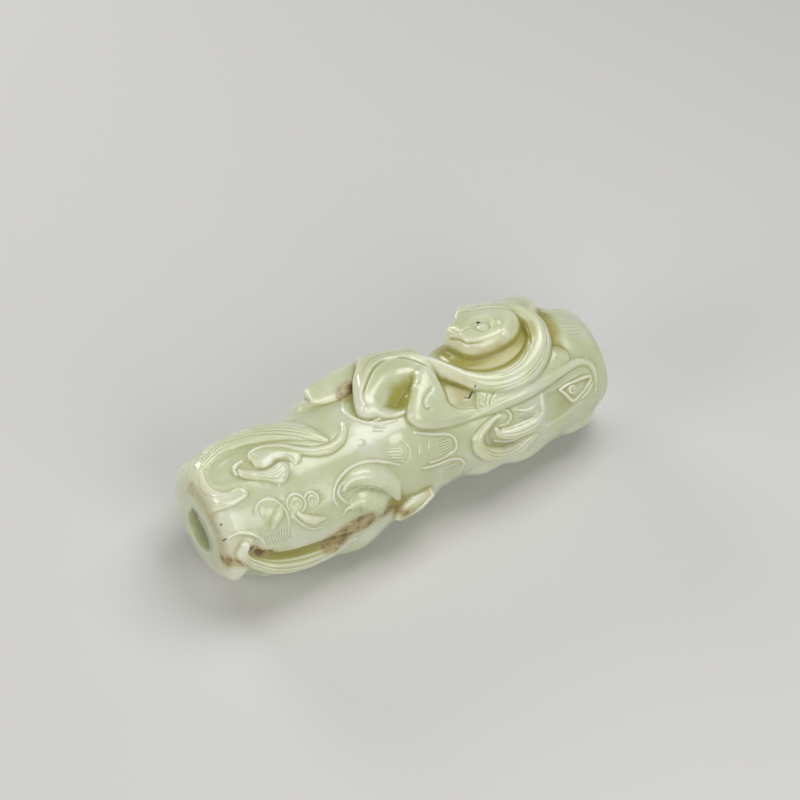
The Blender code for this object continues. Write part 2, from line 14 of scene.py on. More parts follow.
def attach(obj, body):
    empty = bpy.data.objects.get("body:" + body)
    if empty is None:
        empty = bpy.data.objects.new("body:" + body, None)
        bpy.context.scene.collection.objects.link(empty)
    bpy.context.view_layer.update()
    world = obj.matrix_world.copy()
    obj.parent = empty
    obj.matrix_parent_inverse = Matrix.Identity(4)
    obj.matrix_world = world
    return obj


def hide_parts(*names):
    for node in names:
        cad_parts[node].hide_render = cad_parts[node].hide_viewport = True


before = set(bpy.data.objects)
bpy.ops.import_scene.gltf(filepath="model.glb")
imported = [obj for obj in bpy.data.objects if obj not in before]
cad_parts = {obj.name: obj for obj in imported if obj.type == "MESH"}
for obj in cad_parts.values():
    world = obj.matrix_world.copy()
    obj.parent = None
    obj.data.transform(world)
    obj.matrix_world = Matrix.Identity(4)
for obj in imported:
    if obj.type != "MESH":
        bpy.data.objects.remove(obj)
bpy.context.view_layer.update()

bl_info = {
    "name": "Carved jade tube",
    "version": (1, 0, 0),
    "blender": (4, 5, 0),
    "location": "3D View > Sidebar > Jade tube",
    "description": "Carves, finishes and stages a jade tube with a coiled dragon",
    "category": "Add Mesh",
}

NODE = "jade_tube"
SLOT = "celadon_jade"
BODY = "root"

# The tube's middle line and its ends, in metres
AXIS_HEIGHT = 0.0140
AXIS_SIDE = -0.00123
BORE_DROP = 0.0004
BORE_SET_BACK = 0.0012
FACE_DOME = 0.0004
END_TRIM = 0.00025

# The carver's units along the tube, and how many of them make one degree round it
UNITS_ALONG = 89
ROUND = 0.2312

# Way that the tube's middle bows, as shares of +Y and +Z
BOW = (0.813, 0.582)

# How far in from the left end its rim is cream, from wear and a painted highlight along the rim
RIM_WEAR_AND_HIGHLIGHT = 1.8

# Rings on each end face, as shares of the way from the bore's mouth to the rim
FACE_RINGS = (0.96, 0.88, 0.76, 0.62, 0.48, 0.34, 0.2, 0.1, 0.04)

# Rows down the bore: how deep, in units, and how much wider than the bore. Further in the
# rows are a step apart
MOUTH_ROWS = ((0.0, 0.16), (0.12, 0.06), (0.35, 0.0), (0.8, 0.0), (1.6, 0.0),
              (3.0, 0.0), (5.0, 0.0))
BORE_STEP = 2.5

# Most triangles that the finished piece has
TOP_WEIGHT = 190000

# How far a rim is faded into its end face, and how far each rim is rounded over, in units
RIM_FADE = 1.6
RIM_ROUND = (3.2, 1.5)

# How far round a point the marks look, in units: for hollows, for edges and for fine lines
MARK_REACH = (3.2, 0.9, 0.5)

# Depths, in units, that count in full: of a hollow, and of edges and lines for the other two
HOLLOW_FULL = 1.6
CREST_FULL = (0.35, 0.17)
CREVICE_FULL = (0.4, 0.24)

# Stain round the rims and grime round the bore's left mouth: middle and spread, in degrees,
# and how many rings or rows each reaches over
RIM_STAIN = (55, 60)
STAINED_RINGS = 3
MOUTH_GRIME = (-15, 34)
GRIMY_ROWS = 4

# How the polished stone bends and lets through light, and how its surface shines
POLISH = {"IOR": 1.62, "Subsurface Weight": 0.75, "Subsurface Radius": (1.0, 1.0, 0.55),
          "Subsurface Scale": 0.004, "Coat Weight": 0.3, "Coat Roughness": 0.12}

# Camera: place along the tube that it faces, its own shift right and up, and its lens as a
# share of the sensor's width
FACED = -0.0005
EYE_SHIFT = (0.001235, 0.008863)
LENS_SHARE = 4770 / 800

# Lights: how far right of the tube, above it and nearer the camera they stand, and their size
LIGHTS = (("key_light", 0.10, 0.30, 0.22, 0.24), ("fill_light", 0.14, -0.08, 0.34, 0.24),
          ("side_light", -0.30, -0.02, 0.24, 0.16), ("rim_light", -0.22, 0.30, -0.06, 0.14))
SKY = {"Color": (0.8, 0.82, 0.85, 1), "Strength": 0.12}
FLOOR_WIDTH = 6


# Sizes, colours and places that a user would change

class TubeSizes(bpy.types.PropertyGroup):
    """Sizes of the tube and of its cuts."""
    length: bpy.props.FloatProperty(
        name="Length", description="Length between the two rims", default=0.089, unit="LENGTH")
    belly_radius: bpy.props.FloatProperty(
        name="Belly radius", description="Radius of the swelling left part", default=0.0144,
        unit="LENGTH")
    waist_radius: bpy.props.FloatProperty(
        name="Waist radius", description="Radius of the narrow middle", default=0.0119,
        unit="LENGTH")
    shoulder_radius: bpy.props.FloatProperty(
        name="Shoulder radius", description="Radius under the head", default=0.0134, unit="LENGTH")
    left_rim_radius: bpy.props.FloatProperty(
        name="Left rim radius", description="Radius of the left end face", default=0.0082,
        unit="LENGTH")
    right_rim_radius: bpy.props.FloatProperty(
        name="Right rim radius", description="Radius of the right end face", default=0.0092,
        unit="LENGTH")
    bore_diameter: bpy.props.FloatProperty(
        name="Bore", description="Diameter of the bore through the tube", default=0.0084,
        unit="LENGTH")
    fineness: bpy.props.FloatProperty(
        name="Fineness", description="Step of the carved surface, in carver's units", default=0.14,
        min=0.08, max=0.6)


class JadeColours(bpy.types.PropertyGroup):
    """Colours of the stone, of what time has left on it, and of its painted shade and painted
    highlight.
    """
    stone: bpy.props.FloatVectorProperty(
        name="Stone", description="Pale celadon of the polished stone", subtype="COLOR",
        default=(0.640, 0.685, 0.430))
    # Painted shade: the dark yellow-green that the finish lays in the hollows and creases
    shade_tint: bpy.props.FloatVectorProperty(
        name="Hollows", description="Olive painted shade on the ground in the hollows", subtype="COLOR",
        default=(0.430, 0.405, 0.090))
    # Cream of the crests and rims: partly wear, partly painted highlight
    worn_and_highlit: bpy.props.FloatVectorProperty(
        name="Crests", description="Cream of the crests and rims, from wear and painted highlight", subtype="COLOR",
        default=(0.930, 0.920, 0.760))
    cloud: bpy.props.FloatVectorProperty(
        name="Clouds", description="Whitish clouds inside the stone", subtype="COLOR",
        default=(0.740, 0.770, 0.600))
    rust: bpy.props.FloatVectorProperty(
        name="Stain", description="Brown stain in the cracks and valleys", subtype="COLOR",
        default=(0.290, 0.200, 0.060))
    tan: bpy.props.FloatVectorProperty(
        name="Tan", description="Faint stain at the edges of the brown", subtype="COLOR",
        default=(0.560, 0.450, 0.180))
    dirt: bpy.props.FloatVectorProperty(
        name="Specks", description="Dark specks in pits and scratches", subtype="COLOR",
        default=(0.035, 0.025, 0.015))


class StagePlan(bpy.types.PropertyGroup):
    """Floor, lights and camera."""
    floor: bpy.props.FloatVectorProperty(
        name="Floor", description="Colour of the plain floor", subtype="COLOR",
        default=(0.72, 0.71, 0.69))
    turn: bpy.props.FloatProperty(
        name="Turn", description="Camera's turn round the tube", default=math.radians(-31.4),
        subtype="ANGLE")
    tilt: bpy.props.FloatProperty(
        name="Tilt", description="Camera's angle above the floor", default=math.radians(50),
        subtype="ANGLE")
    distance: bpy.props.FloatProperty(
        name="Distance", description="Camera's distance from the tube", default=0.95, unit="LENGTH")
    key_light: bpy.props.FloatProperty(
        name="Key light", description="Power of the soft light above", default=0.72, unit="POWER")
    fill_light: bpy.props.FloatProperty(
        name="Fill light", description="Power of the soft light at the front",
        default=0.56, unit="POWER")
    rim_light: bpy.props.FloatProperty(
        name="Rim light", description="Power of the soft light behind", default=0.35, unit="POWER")
    side_light: bpy.props.FloatProperty(
        name="Side light", description="Power of the soft light at the left",
        default=0.36, unit="POWER")


# Routes and curves

def smooth_steps(knots, places):
    """Smooth curve through (place, value) knots, read at the given places."""
    at, value = np.array(knots, float).T
    slope = np.gradient(value, at)
    i = np.clip(np.searchsorted(at, places) - 1, 0, len(at) - 2)
    gap = at[i + 1] - at[i]
    t = np.clip((places - at[i]) / gap, 0, 1)
    rise = t * t * (3 - 2 * t)
    leave = t * (1 - t) ** 2 * gap * slope[i]
    reach = t * t * (t - 1) * gap * slope[i + 1]
    return value[i] * (1 - rise) + value[i + 1] * rise + leave + reach


def smooth_route(points, closed=False, turns=6):
    """Catmull-Rom curve through the points, with a few steps between each two."""
    p = np.array(points, float)
    if closed:
        p = np.vstack([p[-1:], p, p[:2]])
    else:
        p = np.vstack([2 * p[0] - p[1], p, 2 * p[-1] - p[-2]])
    curve = []
    for a, b, c, d in zip(p[:-3], p[1:-2], p[2:-1], p[3:]):
        for t in np.arange(turns) / turns:
            bend = (2 * a - 5 * b + 4 * c - d) * t * t
            twist = (3 * b - a - 3 * c + d) * t ** 3
            curve.append(b + 0.5 * ((c - a) * t + bend + twist))
    curve.append(p[-2])
    return np.array(curve)


def curl(along, turn, radius, sweep, start=0.0, shrink=0.35):
    """Points of a small spiral that winds inwards about a place on the surface."""
    points = []
    steps = max(5, int(abs(sweep) / 40))
    for i in range(steps + 1):
        share = i / steps
        angle = math.radians(start + sweep * share)
        r = radius * (1 - (1 - shrink) * share)
        points.append((along + r * math.cos(angle), turn + r * math.sin(angle) / ROUND))
    return points


def between(first, last, share):
    """Route that lies a share of the way between two routes."""
    return [(a + (c - a) * share, b + (d - b) * share) for (a, b), (c, d) in zip(first, last)]


class Carving:
    """Height of the carving over the bare tube, as a map of the unrolled surface."""

    def __init__(self, step):
        rows = int(round(UNITS_ALONG / step)) + 1
        self.columns = int(round(360 * ROUND / step))
        self.along = np.linspace(0, UNITS_ALONG, rows)
        self.turn = np.arange(self.columns) * 360 / self.columns - 180
        self.height = np.zeros((rows, self.columns))
        self.lean = np.zeros((rows, self.columns))
        self.stain = np.zeros((rows, self.columns))
        # Map of painted shade: a dark tint laid in the hollows and along the left rim
        self.olive = np.zeros((rows, self.columns))
        self.speck = np.zeros((rows, self.columns))
        self.side = 1
        self.shift = 0

    def window(self, points, reach):
        """Rows and columns of the map that lie within reach of the points."""
        p = np.array(points)
        first = np.searchsorted(self.along, p[:, 0].min() - reach)
        last = np.searchsorted(self.along, p[:, 0].max() + reach)
        rows = np.arange(first, last)
        per_column = 360 / self.columns
        low = math.floor((p[:, 1].min() - reach / ROUND + 180) / per_column)
        high = math.ceil((p[:, 1].max() + reach / ROUND + 180) / per_column)
        columns = np.arange(low, min(high, low + self.columns))
        return rows, columns

    def places(self, rows, columns):
        """Unrolled coordinates of the map's cells, with the turn left unwrapped."""
        turn = columns * 360 / self.columns - 180
        return self.along[rows][:, None], turn[None, :]

    def placed(self, points):
        """Points moved to the side of the tube that is being carved."""
        return [(s, self.side * t + self.shift) for s, t in points]

    def nearest(self, points, reach, closed=False):
        """Distance to a smooth route, signed across it, and the share of its length."""
        route = smooth_route(self.placed(points), closed)
        rows, columns = self.window(route, reach)
        s, t = self.places(rows, columns)
        away = np.full((len(rows), len(columns)), reach * 1.0)
        across = np.zeros_like(away)
        share = np.zeros_like(away)
        steps = np.diff(route, axis=0) * (1, ROUND)
        lengths = np.hypot(*steps.T)
        done = np.concatenate([[0], np.cumsum(lengths)])
        for start, step, long, before in zip(route, steps, lengths, done):
            if long < 1e-9:
                continue
            near_s = np.abs(s[:, 0] - start[0]) < reach + long
            near_t = np.abs(t[0] - start[1]) * ROUND < reach + long
            if not near_s.any() or not near_t.any():
                continue
            block = np.ix_(near_s, near_t)
            ds = s[near_s] - start[0]
            dt = (t[:, near_t] - start[1]) * ROUND
            on = np.clip((ds * step[0] + dt * step[1]) / long ** 2, 0, 1)
            gap_s = ds - on * step[0]
            gap_t = dt - on * step[1]
            gap = np.hypot(gap_s, gap_t)
            closer = gap < away[block]
            turn_side = np.sign(gap_t * step[0] - gap_s * step[1])
            away[block] = np.where(closer, gap, away[block])
            across[block] = np.where(closer, gap * turn_side, across[block])
            share[block] = np.where(closer, (before + on * long) / done[-1], share[block])
        return rows, columns, away, across * self.side, share

    def blend(self, rows, columns, form, soft):
        """Lays a form over what is there, with a soft fillet where they meet."""
        cells = np.ix_(rows, columns % self.columns)
        old = self.height[cells]
        near = np.clip(soft - np.abs(old - form), 0, None) / soft
        self.height[cells] = np.maximum(old, form) + near * near * soft / 4

    def ridge(self, points, widths, heights, crown=0.6, soft=0.4, lines=0, depth=0.12):
        """Raised band along a route, of the given half widths and heights along it.

        A crown of 0.5 makes it half round, and a larger one softer at its foot. The
        lines are fine cuts that run along the band, side by side."""
        rows, columns, away, across, share = self.nearest(points, max(widths) + 1.5)
        half = np.interp(share, np.linspace(0, 1, len(widths)), widths)
        tall = np.interp(share, np.linspace(0, 1, len(heights)), heights)
        x = away / half
        inside = np.clip(1 - x * x, 0, 1) ** crown
        form = tall * inside - np.clip(x - 1, 0, None) * half * 2
        if lines:
            wave = 0.5 - 0.5 * np.cos(math.pi * (across / half + 1) * lines)
            fade = np.clip(np.minimum(share, 1 - share) * 7, 0, 1)
            form = form - depth * fade * wave ** 3 * (x < 0.95)
        self.blend(rows, columns, form, soft)

    def bead(self, points, half=0.36, tall=0.32):
        """Thin raised line along a route, fine at both ends."""
        self.ridge(points, (half * 0.6, half, half, half * 0.6),
                   (tall * 0.4, tall, tall, tall * 0.4), crown=0.9, soft=0.15)

    def groove(self, points, half, depth):
        """Round-bottomed cut along a route, fading at both ends."""
        rows, columns, away, _, share = self.nearest(points, half + 0.5)
        fade = np.clip(np.minimum(share, 1 - share) * 6, 0, 1)
        x = np.clip(away / half, 0, 1)
        self.height[np.ix_(rows, columns % self.columns)] -= depth * fade * (1 - x * x) ** 2

    def comb(self, first, last, count, half=0.2, depth=0.16):
        """Row of fine cuts, from the first route to the last."""
        for i in range(count):
            self.groove(between(first, last, i / (count - 1)), half, depth)

    def inside(self, outline, s, t):
        """Which cells lie inside a closed outline."""
        inside = np.zeros((s.shape[0], t.shape[1]), bool)
        route = smooth_route(self.placed(outline), closed=True)
        for (s1, t1), (s2, t2) in zip(route[:-1], route[1:]):
            if t1 == t2:
                continue
            spans = (t1 > t) != (t2 > t)
            inside ^= spans & (s < (s2 - s1) * (t - t1) / (t2 - t1) + s1)
        return inside

    def plateau(self, outline, height, shoulder, soft=0.5):
        """Raised area inside an outline, with a rounded shoulder along its edge.

        Its height is a number, or a function of the place on the surface."""
        rows, columns, away = self.nearest(outline, shoulder + 3, closed=True)[:3]
        s, t = self.places(rows, columns)
        q = np.clip(away / shoulder, 0, 1)
        rounded = np.sqrt(np.clip(1 - (1 - q) ** 2, 0, 1))
        top = height(s, (t - self.shift) * self.side) if callable(height) else height
        form = np.where(self.inside(outline, s, t), top * rounded, -away * 3)
        self.blend(rows, columns, form, soft)

    def sink(self, outline, depth, slope):
        """Lowered ground inside an outline, sloping down from its edge."""
        rows, columns, away = self.nearest(outline, slope + 2, closed=True)[:3]
        s, t = self.places(rows, columns)
        q = np.clip(away / slope, 0, 1)
        bowl = np.where(self.inside(outline, s, t), q * q * (3 - 2 * q), 0)
        self.height[np.ix_(rows, columns % self.columns)] -= depth * bowl

    def swell(self, along, turn, long, wide, rise, lean=0.0):
        """Adds a soft mound, or a hollow where its rise is negative."""
        rows, columns, bell = self.bell(along, turn, long, wide)
        cells = np.ix_(rows, columns % self.columns)
        self.height[cells] += rise * bell
        self.lean[cells] += lean * bell

    def bell(self, along, turn, long, wide):
        """Soft round patch: 1 in its middle and 0 at its edge."""
        (along, turn), = self.placed([(along, turn)])
        rows, columns = self.window([(along, turn)], max(long, wide))
        s, t = self.places(rows, columns)
        x = ((s - along) / long) ** 2 + ((t - turn) * ROUND / wide) ** 2
        return rows, columns, (1 - np.clip(x, 0, 1)) ** 2

    def tinge(self, layer, marks):
        """Adds soft marks to a layer of the map, each with its strength last.

        A mark is a streak, with its route and half width, or a patch, with its place and
        its two reaches."""
        for where, *reach, strength in marks:
            if isinstance(where, list):
                rows, columns, away = self.nearest(where, reach[0])[:3]
                x = np.clip(away / reach[0], 0, 1)
                form = (1 - x * x) ** 2
            else:
                rows, columns, form = self.bell(*where, *reach)
            layer[np.ix_(rows, columns % self.columns)] += strength * form

    def prick(self, points, half):
        """Dark scratch or pit along a route."""
        rows, columns, away = self.nearest(points, half)[:3]
        x = np.clip(away / half, 0, 1)
        cells = np.ix_(rows, columns % self.columns)
        self.speck[cells] = np.maximum(self.speck[cells], 1 - x ** 4)
        self.height[cells] -= 0.12 * (1 - x * x)


# The carving, from left to right

def carve_broad_ground(carving):
    """Hollows and swellings that the carving stands in."""
    mounds = ((37, 86, 5, 4, -0.9), (20, 130, 14, 5, 0.8), (29.5, 122, 7, 6, 1.3),
              (45.5, 122, 3.5, 5, 0.5), (67, 118, 7, 5, 0.9), (58.6, 120, 5, 4.5, 1.1),
              (45, 78, 5, 6, -0.4), (22.5, -57, 6, 5.5, -1.1), (30, -50, 5, 5, 1.5),
              (80.6, 122, 4.4, 5, 0.9), (83.4, 118, 3, 4, 0.5), (83, -54, 2.6, 5, 0.9),
              (2, 122, 3, 7, 0.5), (5.4, 122, 3.2, 6, -1.4))
    for mound in mounds:
        carving.swell(*mound)


def carve_upper_lock(carving):
    """Broad striated lock that sweeps along the rim and over the top to a point."""
    hollow = [(6.4, 16.5), (4, 13.5), (2.4, 7), (1.9, -3), (2.9, -13), (5.8, -21), (10.4, -23.5),
              (15, -17), (19.6, -8), (23.6, 4), (25.4, 12), (22, 15), (15, 16), (10, 18)]
    carving.sink(hollow, 0.55, 2)
    lock = [(6.6, 24), (4.2, 25), (1.6, 19), (0.4, 6), (0.6, -8), (2.4, -22), (6.4, -31),
            (11.4, -34), (16.4, -29), (20.6, -20), (24.2, -7), (27.2, 8)]
    carving.ridge(lock, (1.3, 1.9, 2, 2.1, 2.5, 3.2, 3.4, 3.1, 2.2, 0.5),
                  (0.7, 0.9, 0.7, 0.6, 0.7, 1.1, 1.3, 1.2, 1, 0.3), crown=0.45, soft=0.4)
    outer = [(2.8, -31), (7, -39), (12, -43), (17, -39), (21.4, -30), (24.8, -16), (27.4, 4)]
    inner = [(2.8, -17), (6.6, -25), (11, -27.5), (15.4, -22), (19.6, -12.5),
             (23.4, -0.5), (26.6, 9.5)]
    carving.comb(outer, inner, 6, 0.24, 0.2)
    carving.groove([(5.4, 21), (2.6, 19.5), (1, 8), (1.2, -6), (3.4, -18)], 0.22, 0.12)
    stem = [(12, -3), (12.6, -7.4), (14.2, -9.4), (16.2, -7.4), (18.9, -1), (20.8, 6.5),
            (23.4, 13), (26.4, 16), (29.4, 13.5), (31.4, 7), (32.4, -1)]
    carving.ridge(stem, (0.3, 0.45, 0.6, 0.9, 1.1, 0.9, 0.4), (0.3, 0.5, 0.7, 0.9, 1, 0.8, 0.3),
                  crown=0.7, soft=0.3)
    carving.groove([(15.6, -6), (18.5, 0.6), (20.6, 8), (23.4, 14.6), (26.6, 17.2)], 0.22, 0.14)


def carve_scroll(carving):
    """S-shaped scroll of two lobes below the lock's stem."""
    upper = [(12, 1), (12.3, -5), (14.2, -8.6), (16.2, -6.6), (18.7, -0.6), (20.5, 5), (21.2, 11),
             (20.4, 15.8), (19.1, 17.4), (18.6, 12.8), (17.7, 8.4), (16.2, 6.8), (14.9, 9.2),
             (13.4, 10), (12.2, 6)]
    carving.plateau(upper, 0.5, 1.8, soft=0.5)
    carving.groove([(12, 2), (13, 9.4), (14.6, 9.8), (16.2, 7), (17.9, 8.2), (18.7, 13),
                    (19, 17.6)], 0.3, 0.25)
    lower = [(8.6, 3), (8.3, 9), (9.6, 15.5), (12, 20.5), (13.9, 26.4), (15.4, 27.4),
             (17.1, 21.5), (17.6, 14.5), (16.6, 10.6), (14.8, 12.6), (12.6, 12.4), (10.6, 8)]
    carving.plateau(lower, lambda s, t: 0.55 + 0.02 * t, 2.4, soft=0.6)
    carving.comb([(10.4, 9.5), (12.6, 13.8), (14.8, 14.4), (16.8, 12)],
                 [(10, 14), (12.2, 19), (14.4, 22.8), (16.4, 20)], 4, 0.2, 0.17)
    carving.bead([(14.1, 27.6), (15, 25), (16.4, 21.8)], 0.4, 0.4)
    carving.bead([(10.4, -4), (9, -2.2), (8, 1.5), (7.9, 6)], 0.3, 0.18)


def carve_small_rings(carving):
    """Hooked cheek with its comb, and two rings with a curled lobe at mid height."""
    carving.swell(10.6, 47, 2.8, 3.2, 0.35)
    carving.ridge([(12.7, 44), (11.7, 48.5), (10.5, 53), (9.8, 58)], (0.5, 1.1, 1.1, 0.5),
                  (0.4, 0.8, 0.8, 0.3), crown=0.8, soft=0.4)
    hook = [(7.5, 44), (7.9, 39.5), (8.8, 36.2), (10.3, 35), (11.8, 37.4), (12.8, 44), (13.2, 51),
            (13, 58), (12.7, 64)]
    carving.bead(hook, 0.36, 0.34)
    carving.bead([(8.5, 46), (8.7, 41.4), (9.5, 38.6)], 0.24, 0.16)
    carving.comb([(8, 63.5), (7.7, 69), (8.3, 75)], [(13, 61.5), (12.7, 68), (13, 74.5)],
                 10, 0.19, 0.24)
    for along, turn, radius in ((15.7, 46.5, 1.9), (18.9, 47.4, 1.4)):
        ring = curl(along, turn, radius, 300, start=160, shrink=0.92)
        carving.bead(ring, 0.3, 0.32)
        carving.bead(curl(along + 0.1, turn + 0.6, radius * 0.58, 260, start=190, shrink=0.8),
                     0.26, 0.22)
    for gap in (0, 0.8):
        carving.bead([(14.4 - gap * 0.3, 55 + gap), (15.2, 61 + gap * 2), (16.9, 67 + gap * 3.4),
                      (19.4, 70 + gap * 3.6)], 0.3, 0.3)
    carving.ridge([(15.4, 54.5), (16.4, 59.5), (18, 64), (20.2, 66)], (0.5, 0.9, 0.9, 0.4),
                  (0.4, 0.8, 0.8, 0.2), soft=0.3)


def carve_lower_lock(carving):
    """Striated lock along the lower front edge, with a thin arc round its head."""
    carving.sink([(4.6, 78), (6.6, 86), (11, 93.5), (16, 98), (22, 99), (28, 96), (25, 89),
                  (18, 85), (12, 83.5), (8, 79), (6, 74)], 0.8, 1.6)
    lock = [(3.7, 68), (2.9, 76), (3.8, 86), (7.2, 96), (12.5, 103), (19, 106), (26, 104)]
    carving.ridge(lock, (0.8, 1.5, 2, 2.2, 2.2, 1.9, 0.8), (0.9, 1.5, 1.9, 1.9, 1.7, 1.2, 0.3),
                  crown=0.6, soft=0.6, lines=5, depth=0.24)
    carving.swell(4.4, 71, 1.9, 2.2, 0.5)
    carving.bead([(1.4, 57), (3, 55.5), (5, 58.5), (6.6, 64), (7.4, 71)], 0.4, 0.4)


def carve_comma_pair(carving):
    """Two nested commas round a low boss."""
    outer = [(23.6, 61), (23.2, 54), (24, 46.5), (25.8, 40.5), (28.6, 36.8), (31.6, 36.8),
             (34.2, 40), (36.6, 45.5), (38.8, 52)]
    carving.bead(outer, 0.42, 0.45)
    carving.bead([(25.8, 62), (24.9, 57), (24.4, 51.5), (25.2, 46.8), (26.9, 43)], 0.32, 0.35)
    crest = [(25.9, 50), (27, 46.6), (29, 45.4), (31.4, 48), (33.6, 54), (35.4, 62),
             (36.4, 71), (36.9, 81)]
    carving.ridge(crest, (0.5, 1.3, 2.1, 2.5, 2.4, 2, 1.3, 0.6),
                  (0.3, 0.8, 1.3, 1.5, 1.3, 1, 0.6, 0.15), crown=1.1, soft=0.6)
    carving.comb([(26.6, 53), (29.6, 53.4), (32.2, 59), (33.8, 67), (34.6, 77)],
                 [(27.6, 57), (30, 58), (31.8, 62.5), (32.9, 69), (33.2, 78)], 3, 0.2, 0.2)
    boss = [(26.6, 65.5), (28.6, 65), (30.8, 69.5), (32.2, 76.5), (32.2, 84)]
    carving.ridge(boss, (0.8, 1.7, 2.3, 2.3, 1.2), (0.5, 1.2, 1.4, 1.1, 0.2), crown=1.1, soft=0.7)
    carving.bead([(24.2, 70), (25.2, 66), (27.2, 66), (28.6, 71), (29, 78)], 0.34, 0.5)


def carve_lug(carving):
    """Pointed leaf at the lower edge, under the waist."""
    leaf = [(36.6, 94), (39, 89), (42.6, 89), (44.9, 94), (42.8, 103), (38.4, 111), (35.8, 105)]
    carving.plateau(leaf, 1.5, 1.5)
    carving.ridge([(38.4, 103), (41.4, 98), (44.3, 92.5)], (0.5, 0.7, 0.4),
                  (1.7, 2.1, 1.9), soft=0.3)


def carve_combs(carving):
    """Flat locks with combs of fine cuts on the waist."""
    carving.swell(40.2, 40, 3, 3.2, 0.45)
    carving.comb([(37, 36), (40.4, 41.5)], [(37.6, 47), (39.6, 52.5)], 5, 0.2, 0.2)
    carving.groove([(40.6, 34), (41.6, 42), (41, 49), (39.6, 54)], 0.25, 0.2)
    carving.comb([(41.9, 42), (41.2, 53)], [(46.4, 46), (45.4, 54)], 3, 0.2, 0.15)
    first = [(44.4, 34), (48, 43), (51.4, 51), (52.2, 60), (51.4, 68), (48.6, 69), (45.6, 66)]
    carving.bead(first, 0.34, 0.35)
    carving.comb([(48.2, 51), (51.2, 54)], [(48.4, 65.5), (51, 66.8)], 6, 0.2, 0.22)
    second = [(43.6, 66.5), (47, 71.4), (51, 76), (53, 85), (52.8, 94), (51.2, 103)]
    carving.bead(second, 0.34, 0.4)
    carving.comb([(48, 79), (51.6, 81.8)], [(48.2, 104), (51, 105)], 7, 0.2, 0.22)
    carving.comb([(37.6, 11), (40.2, 17)], [(36.6, 16), (38.8, 21)], 3, 0.2, 0.15)
    carving.swell(33.3, 21.5, 1.1, 0.9, 0.2)


def wing_height(s, t):
    """Height of the wing's slanting face."""
    return 0.6 + (3.1 + 0.19 * (np.minimum(s, 39) - 32)) * np.clip((-36 - t) / 16, 0, 1)


def coil_height(s, t):
    """Height of the coiled body, which is greatest on top and falls away to the right."""
    fall = 0.1 * np.clip(s - 48, 0, None) * np.clip((-20 - t) / 25, 0, 1)
    return np.interp(-t, (-12, 0, 15, 33, 46, 62), (2, 3, 4.2, 5.3, 5.7, 5.4)) - fall


def haunch_height(s, t):
    """Height of the haunch, which slopes down to the front and to its long point."""
    return 3.7 - 0.062 * (t - 5) - 0.1 * np.clip(s - 51, 0, None)


def crown_height(s, t):
    """Height of the head's crown, by how far along the tube it is."""
    return np.interp(s, (68, 71, 74, 77, 81), (6.2, 5.4, 4.8, 4.3, 3.9))


def cheek_height(s, t):
    """Height of the head's near cheek, which slopes down to the jaw."""
    return 4.7 + 0.03 * np.clip(-t, -4, 34)


def carve_wing(carving):
    """Wing on the far side: a slanting flat face with a bevelled upper edge."""
    outline = [(31.2, -56), (30.6, -44), (30.8, -38), (34, -35.5), (38, -36), (42, -42), (46, -56),
               (44.5, -76), (37, -78), (32.4, -70)]
    carving.plateau(outline, wing_height, 0.9, soft=0.3)
    carving.bead([(31.4, -39), (31.5, -44), (31.8, -49)], 0.4, 0.3)
    carving.groove([(29.6, -36), (33, -33.6), (37.2, -33.8)], 0.5, 0.2)
    carving.groove([(31.8, -51.4), (36.4, -51.8), (40, -52), (43, -52)], 0.3, 0.12)


def carve_body(carving):
    """The dragon's coiled body, its bowl with a pit, its haunch and the neck."""
    mass = [(38.2, 8), (36.2, 3), (35.9, -4), (36.8, -14), (37.6, -21), (38.9, -30), (41.4, -42),
            (43.6, -58), (47, -67), (51, -60), (54.4, -44), (55.8, -28), (55.6, -14), (54.8, -3),
            (53.2, 7), (50, 16), (44, 16), (41, 13)]
    carving.plateau(mass, coil_height, 2.3, soft=0.5)
    bowl = [(38.9, 5), (39.4, -3), (41.2, -9), (44, -14.5), (47.2, -17), (50, -14), (51.2, -6),
            (50.4, 3), (48, 12), (45, 19), (41.6, 16), (39.6, 11)]
    carving.sink(bowl, 2.7, 4.6)
    carving.swell(43.4, 6.5, 3.2, 2.6, -0.9)
    haunch = [(47.4, 2), (46.2, 8), (44.9, 15), (44.2, 23), (45.8, 33), (50, 40.8), (54, 44.3),
              (58, 45.5), (61, 44), (57.8, 38), (55.2, 33), (53.8, 24), (54.2, 13), (54.6, 0),
              (53.8, -13), (50.4, -11), (48.6, -4)]
    carving.plateau(haunch, haunch_height, 2.6, soft=1.8)
    carving.swell(48.4, 2.5, 1.2, 1, 0.25)
    floor = [(58.5, -54), (57.6, -20), (58.6, 0), (61.5, 12), (66, 20), (71, 18), (75, 8), (77, -8),
             (77, -30), (74, -52), (66, -60)]
    carving.plateau(floor, 1.2, 1.5, soft=1)
    apron = [(59.6, 29), (60.4, 25), (64, 31), (69, 33), (74, 27), (78, 16), (80.6, 24), (80.4, 36),
             (75, 42), (68, 45), (61, 46), (58.6, 42)]
    carving.plateau(apron, 1.2, 2.4, soft=1.2)
    neck = [(50.6, -34), (53.8, -18), (56.2, -6), (57.9, 3), (60, 13), (62.8, 21.5), (66.4, 26.6),
            (70.2, 26.2), (73.5, 21), (76, 12.5), (77.2, 3), (77.5, -8), (76.4, -20), (74, -29)]
    carving.ridge(neck, (2.6, 2.2, 1.7, 1.5, 1.7, 2.2, 2.7, 2.9, 3, 2.9, 2.7, 2.6, 2.6, 2.6),
                  (5, 4.9, 4.4, 3.5, 2.7, 2.4, 2.4, 2.6, 3.1, 3.7, 4.2, 4.5, 4.7, 4.6),
                  crown=0.6, soft=0.9)
    brow = [(58, 43), (64, 43), (69, 42), (74, 40.5), (79, 39), (82.4, 40), (84.4, 45), (85.3, 54),
            (85.1, 66), (84.4, 78)]
    carving.ridge(brow, (1, 1.5, 1.7, 1.8, 1.7, 1.4, 1, 0.7, 0.6, 0.5),
                  (0.6, 1, 1.2, 1.4, 1.3, 1.1, 0.8, 0.6, 0.5, 0.3), crown=0.8, soft=0.4)


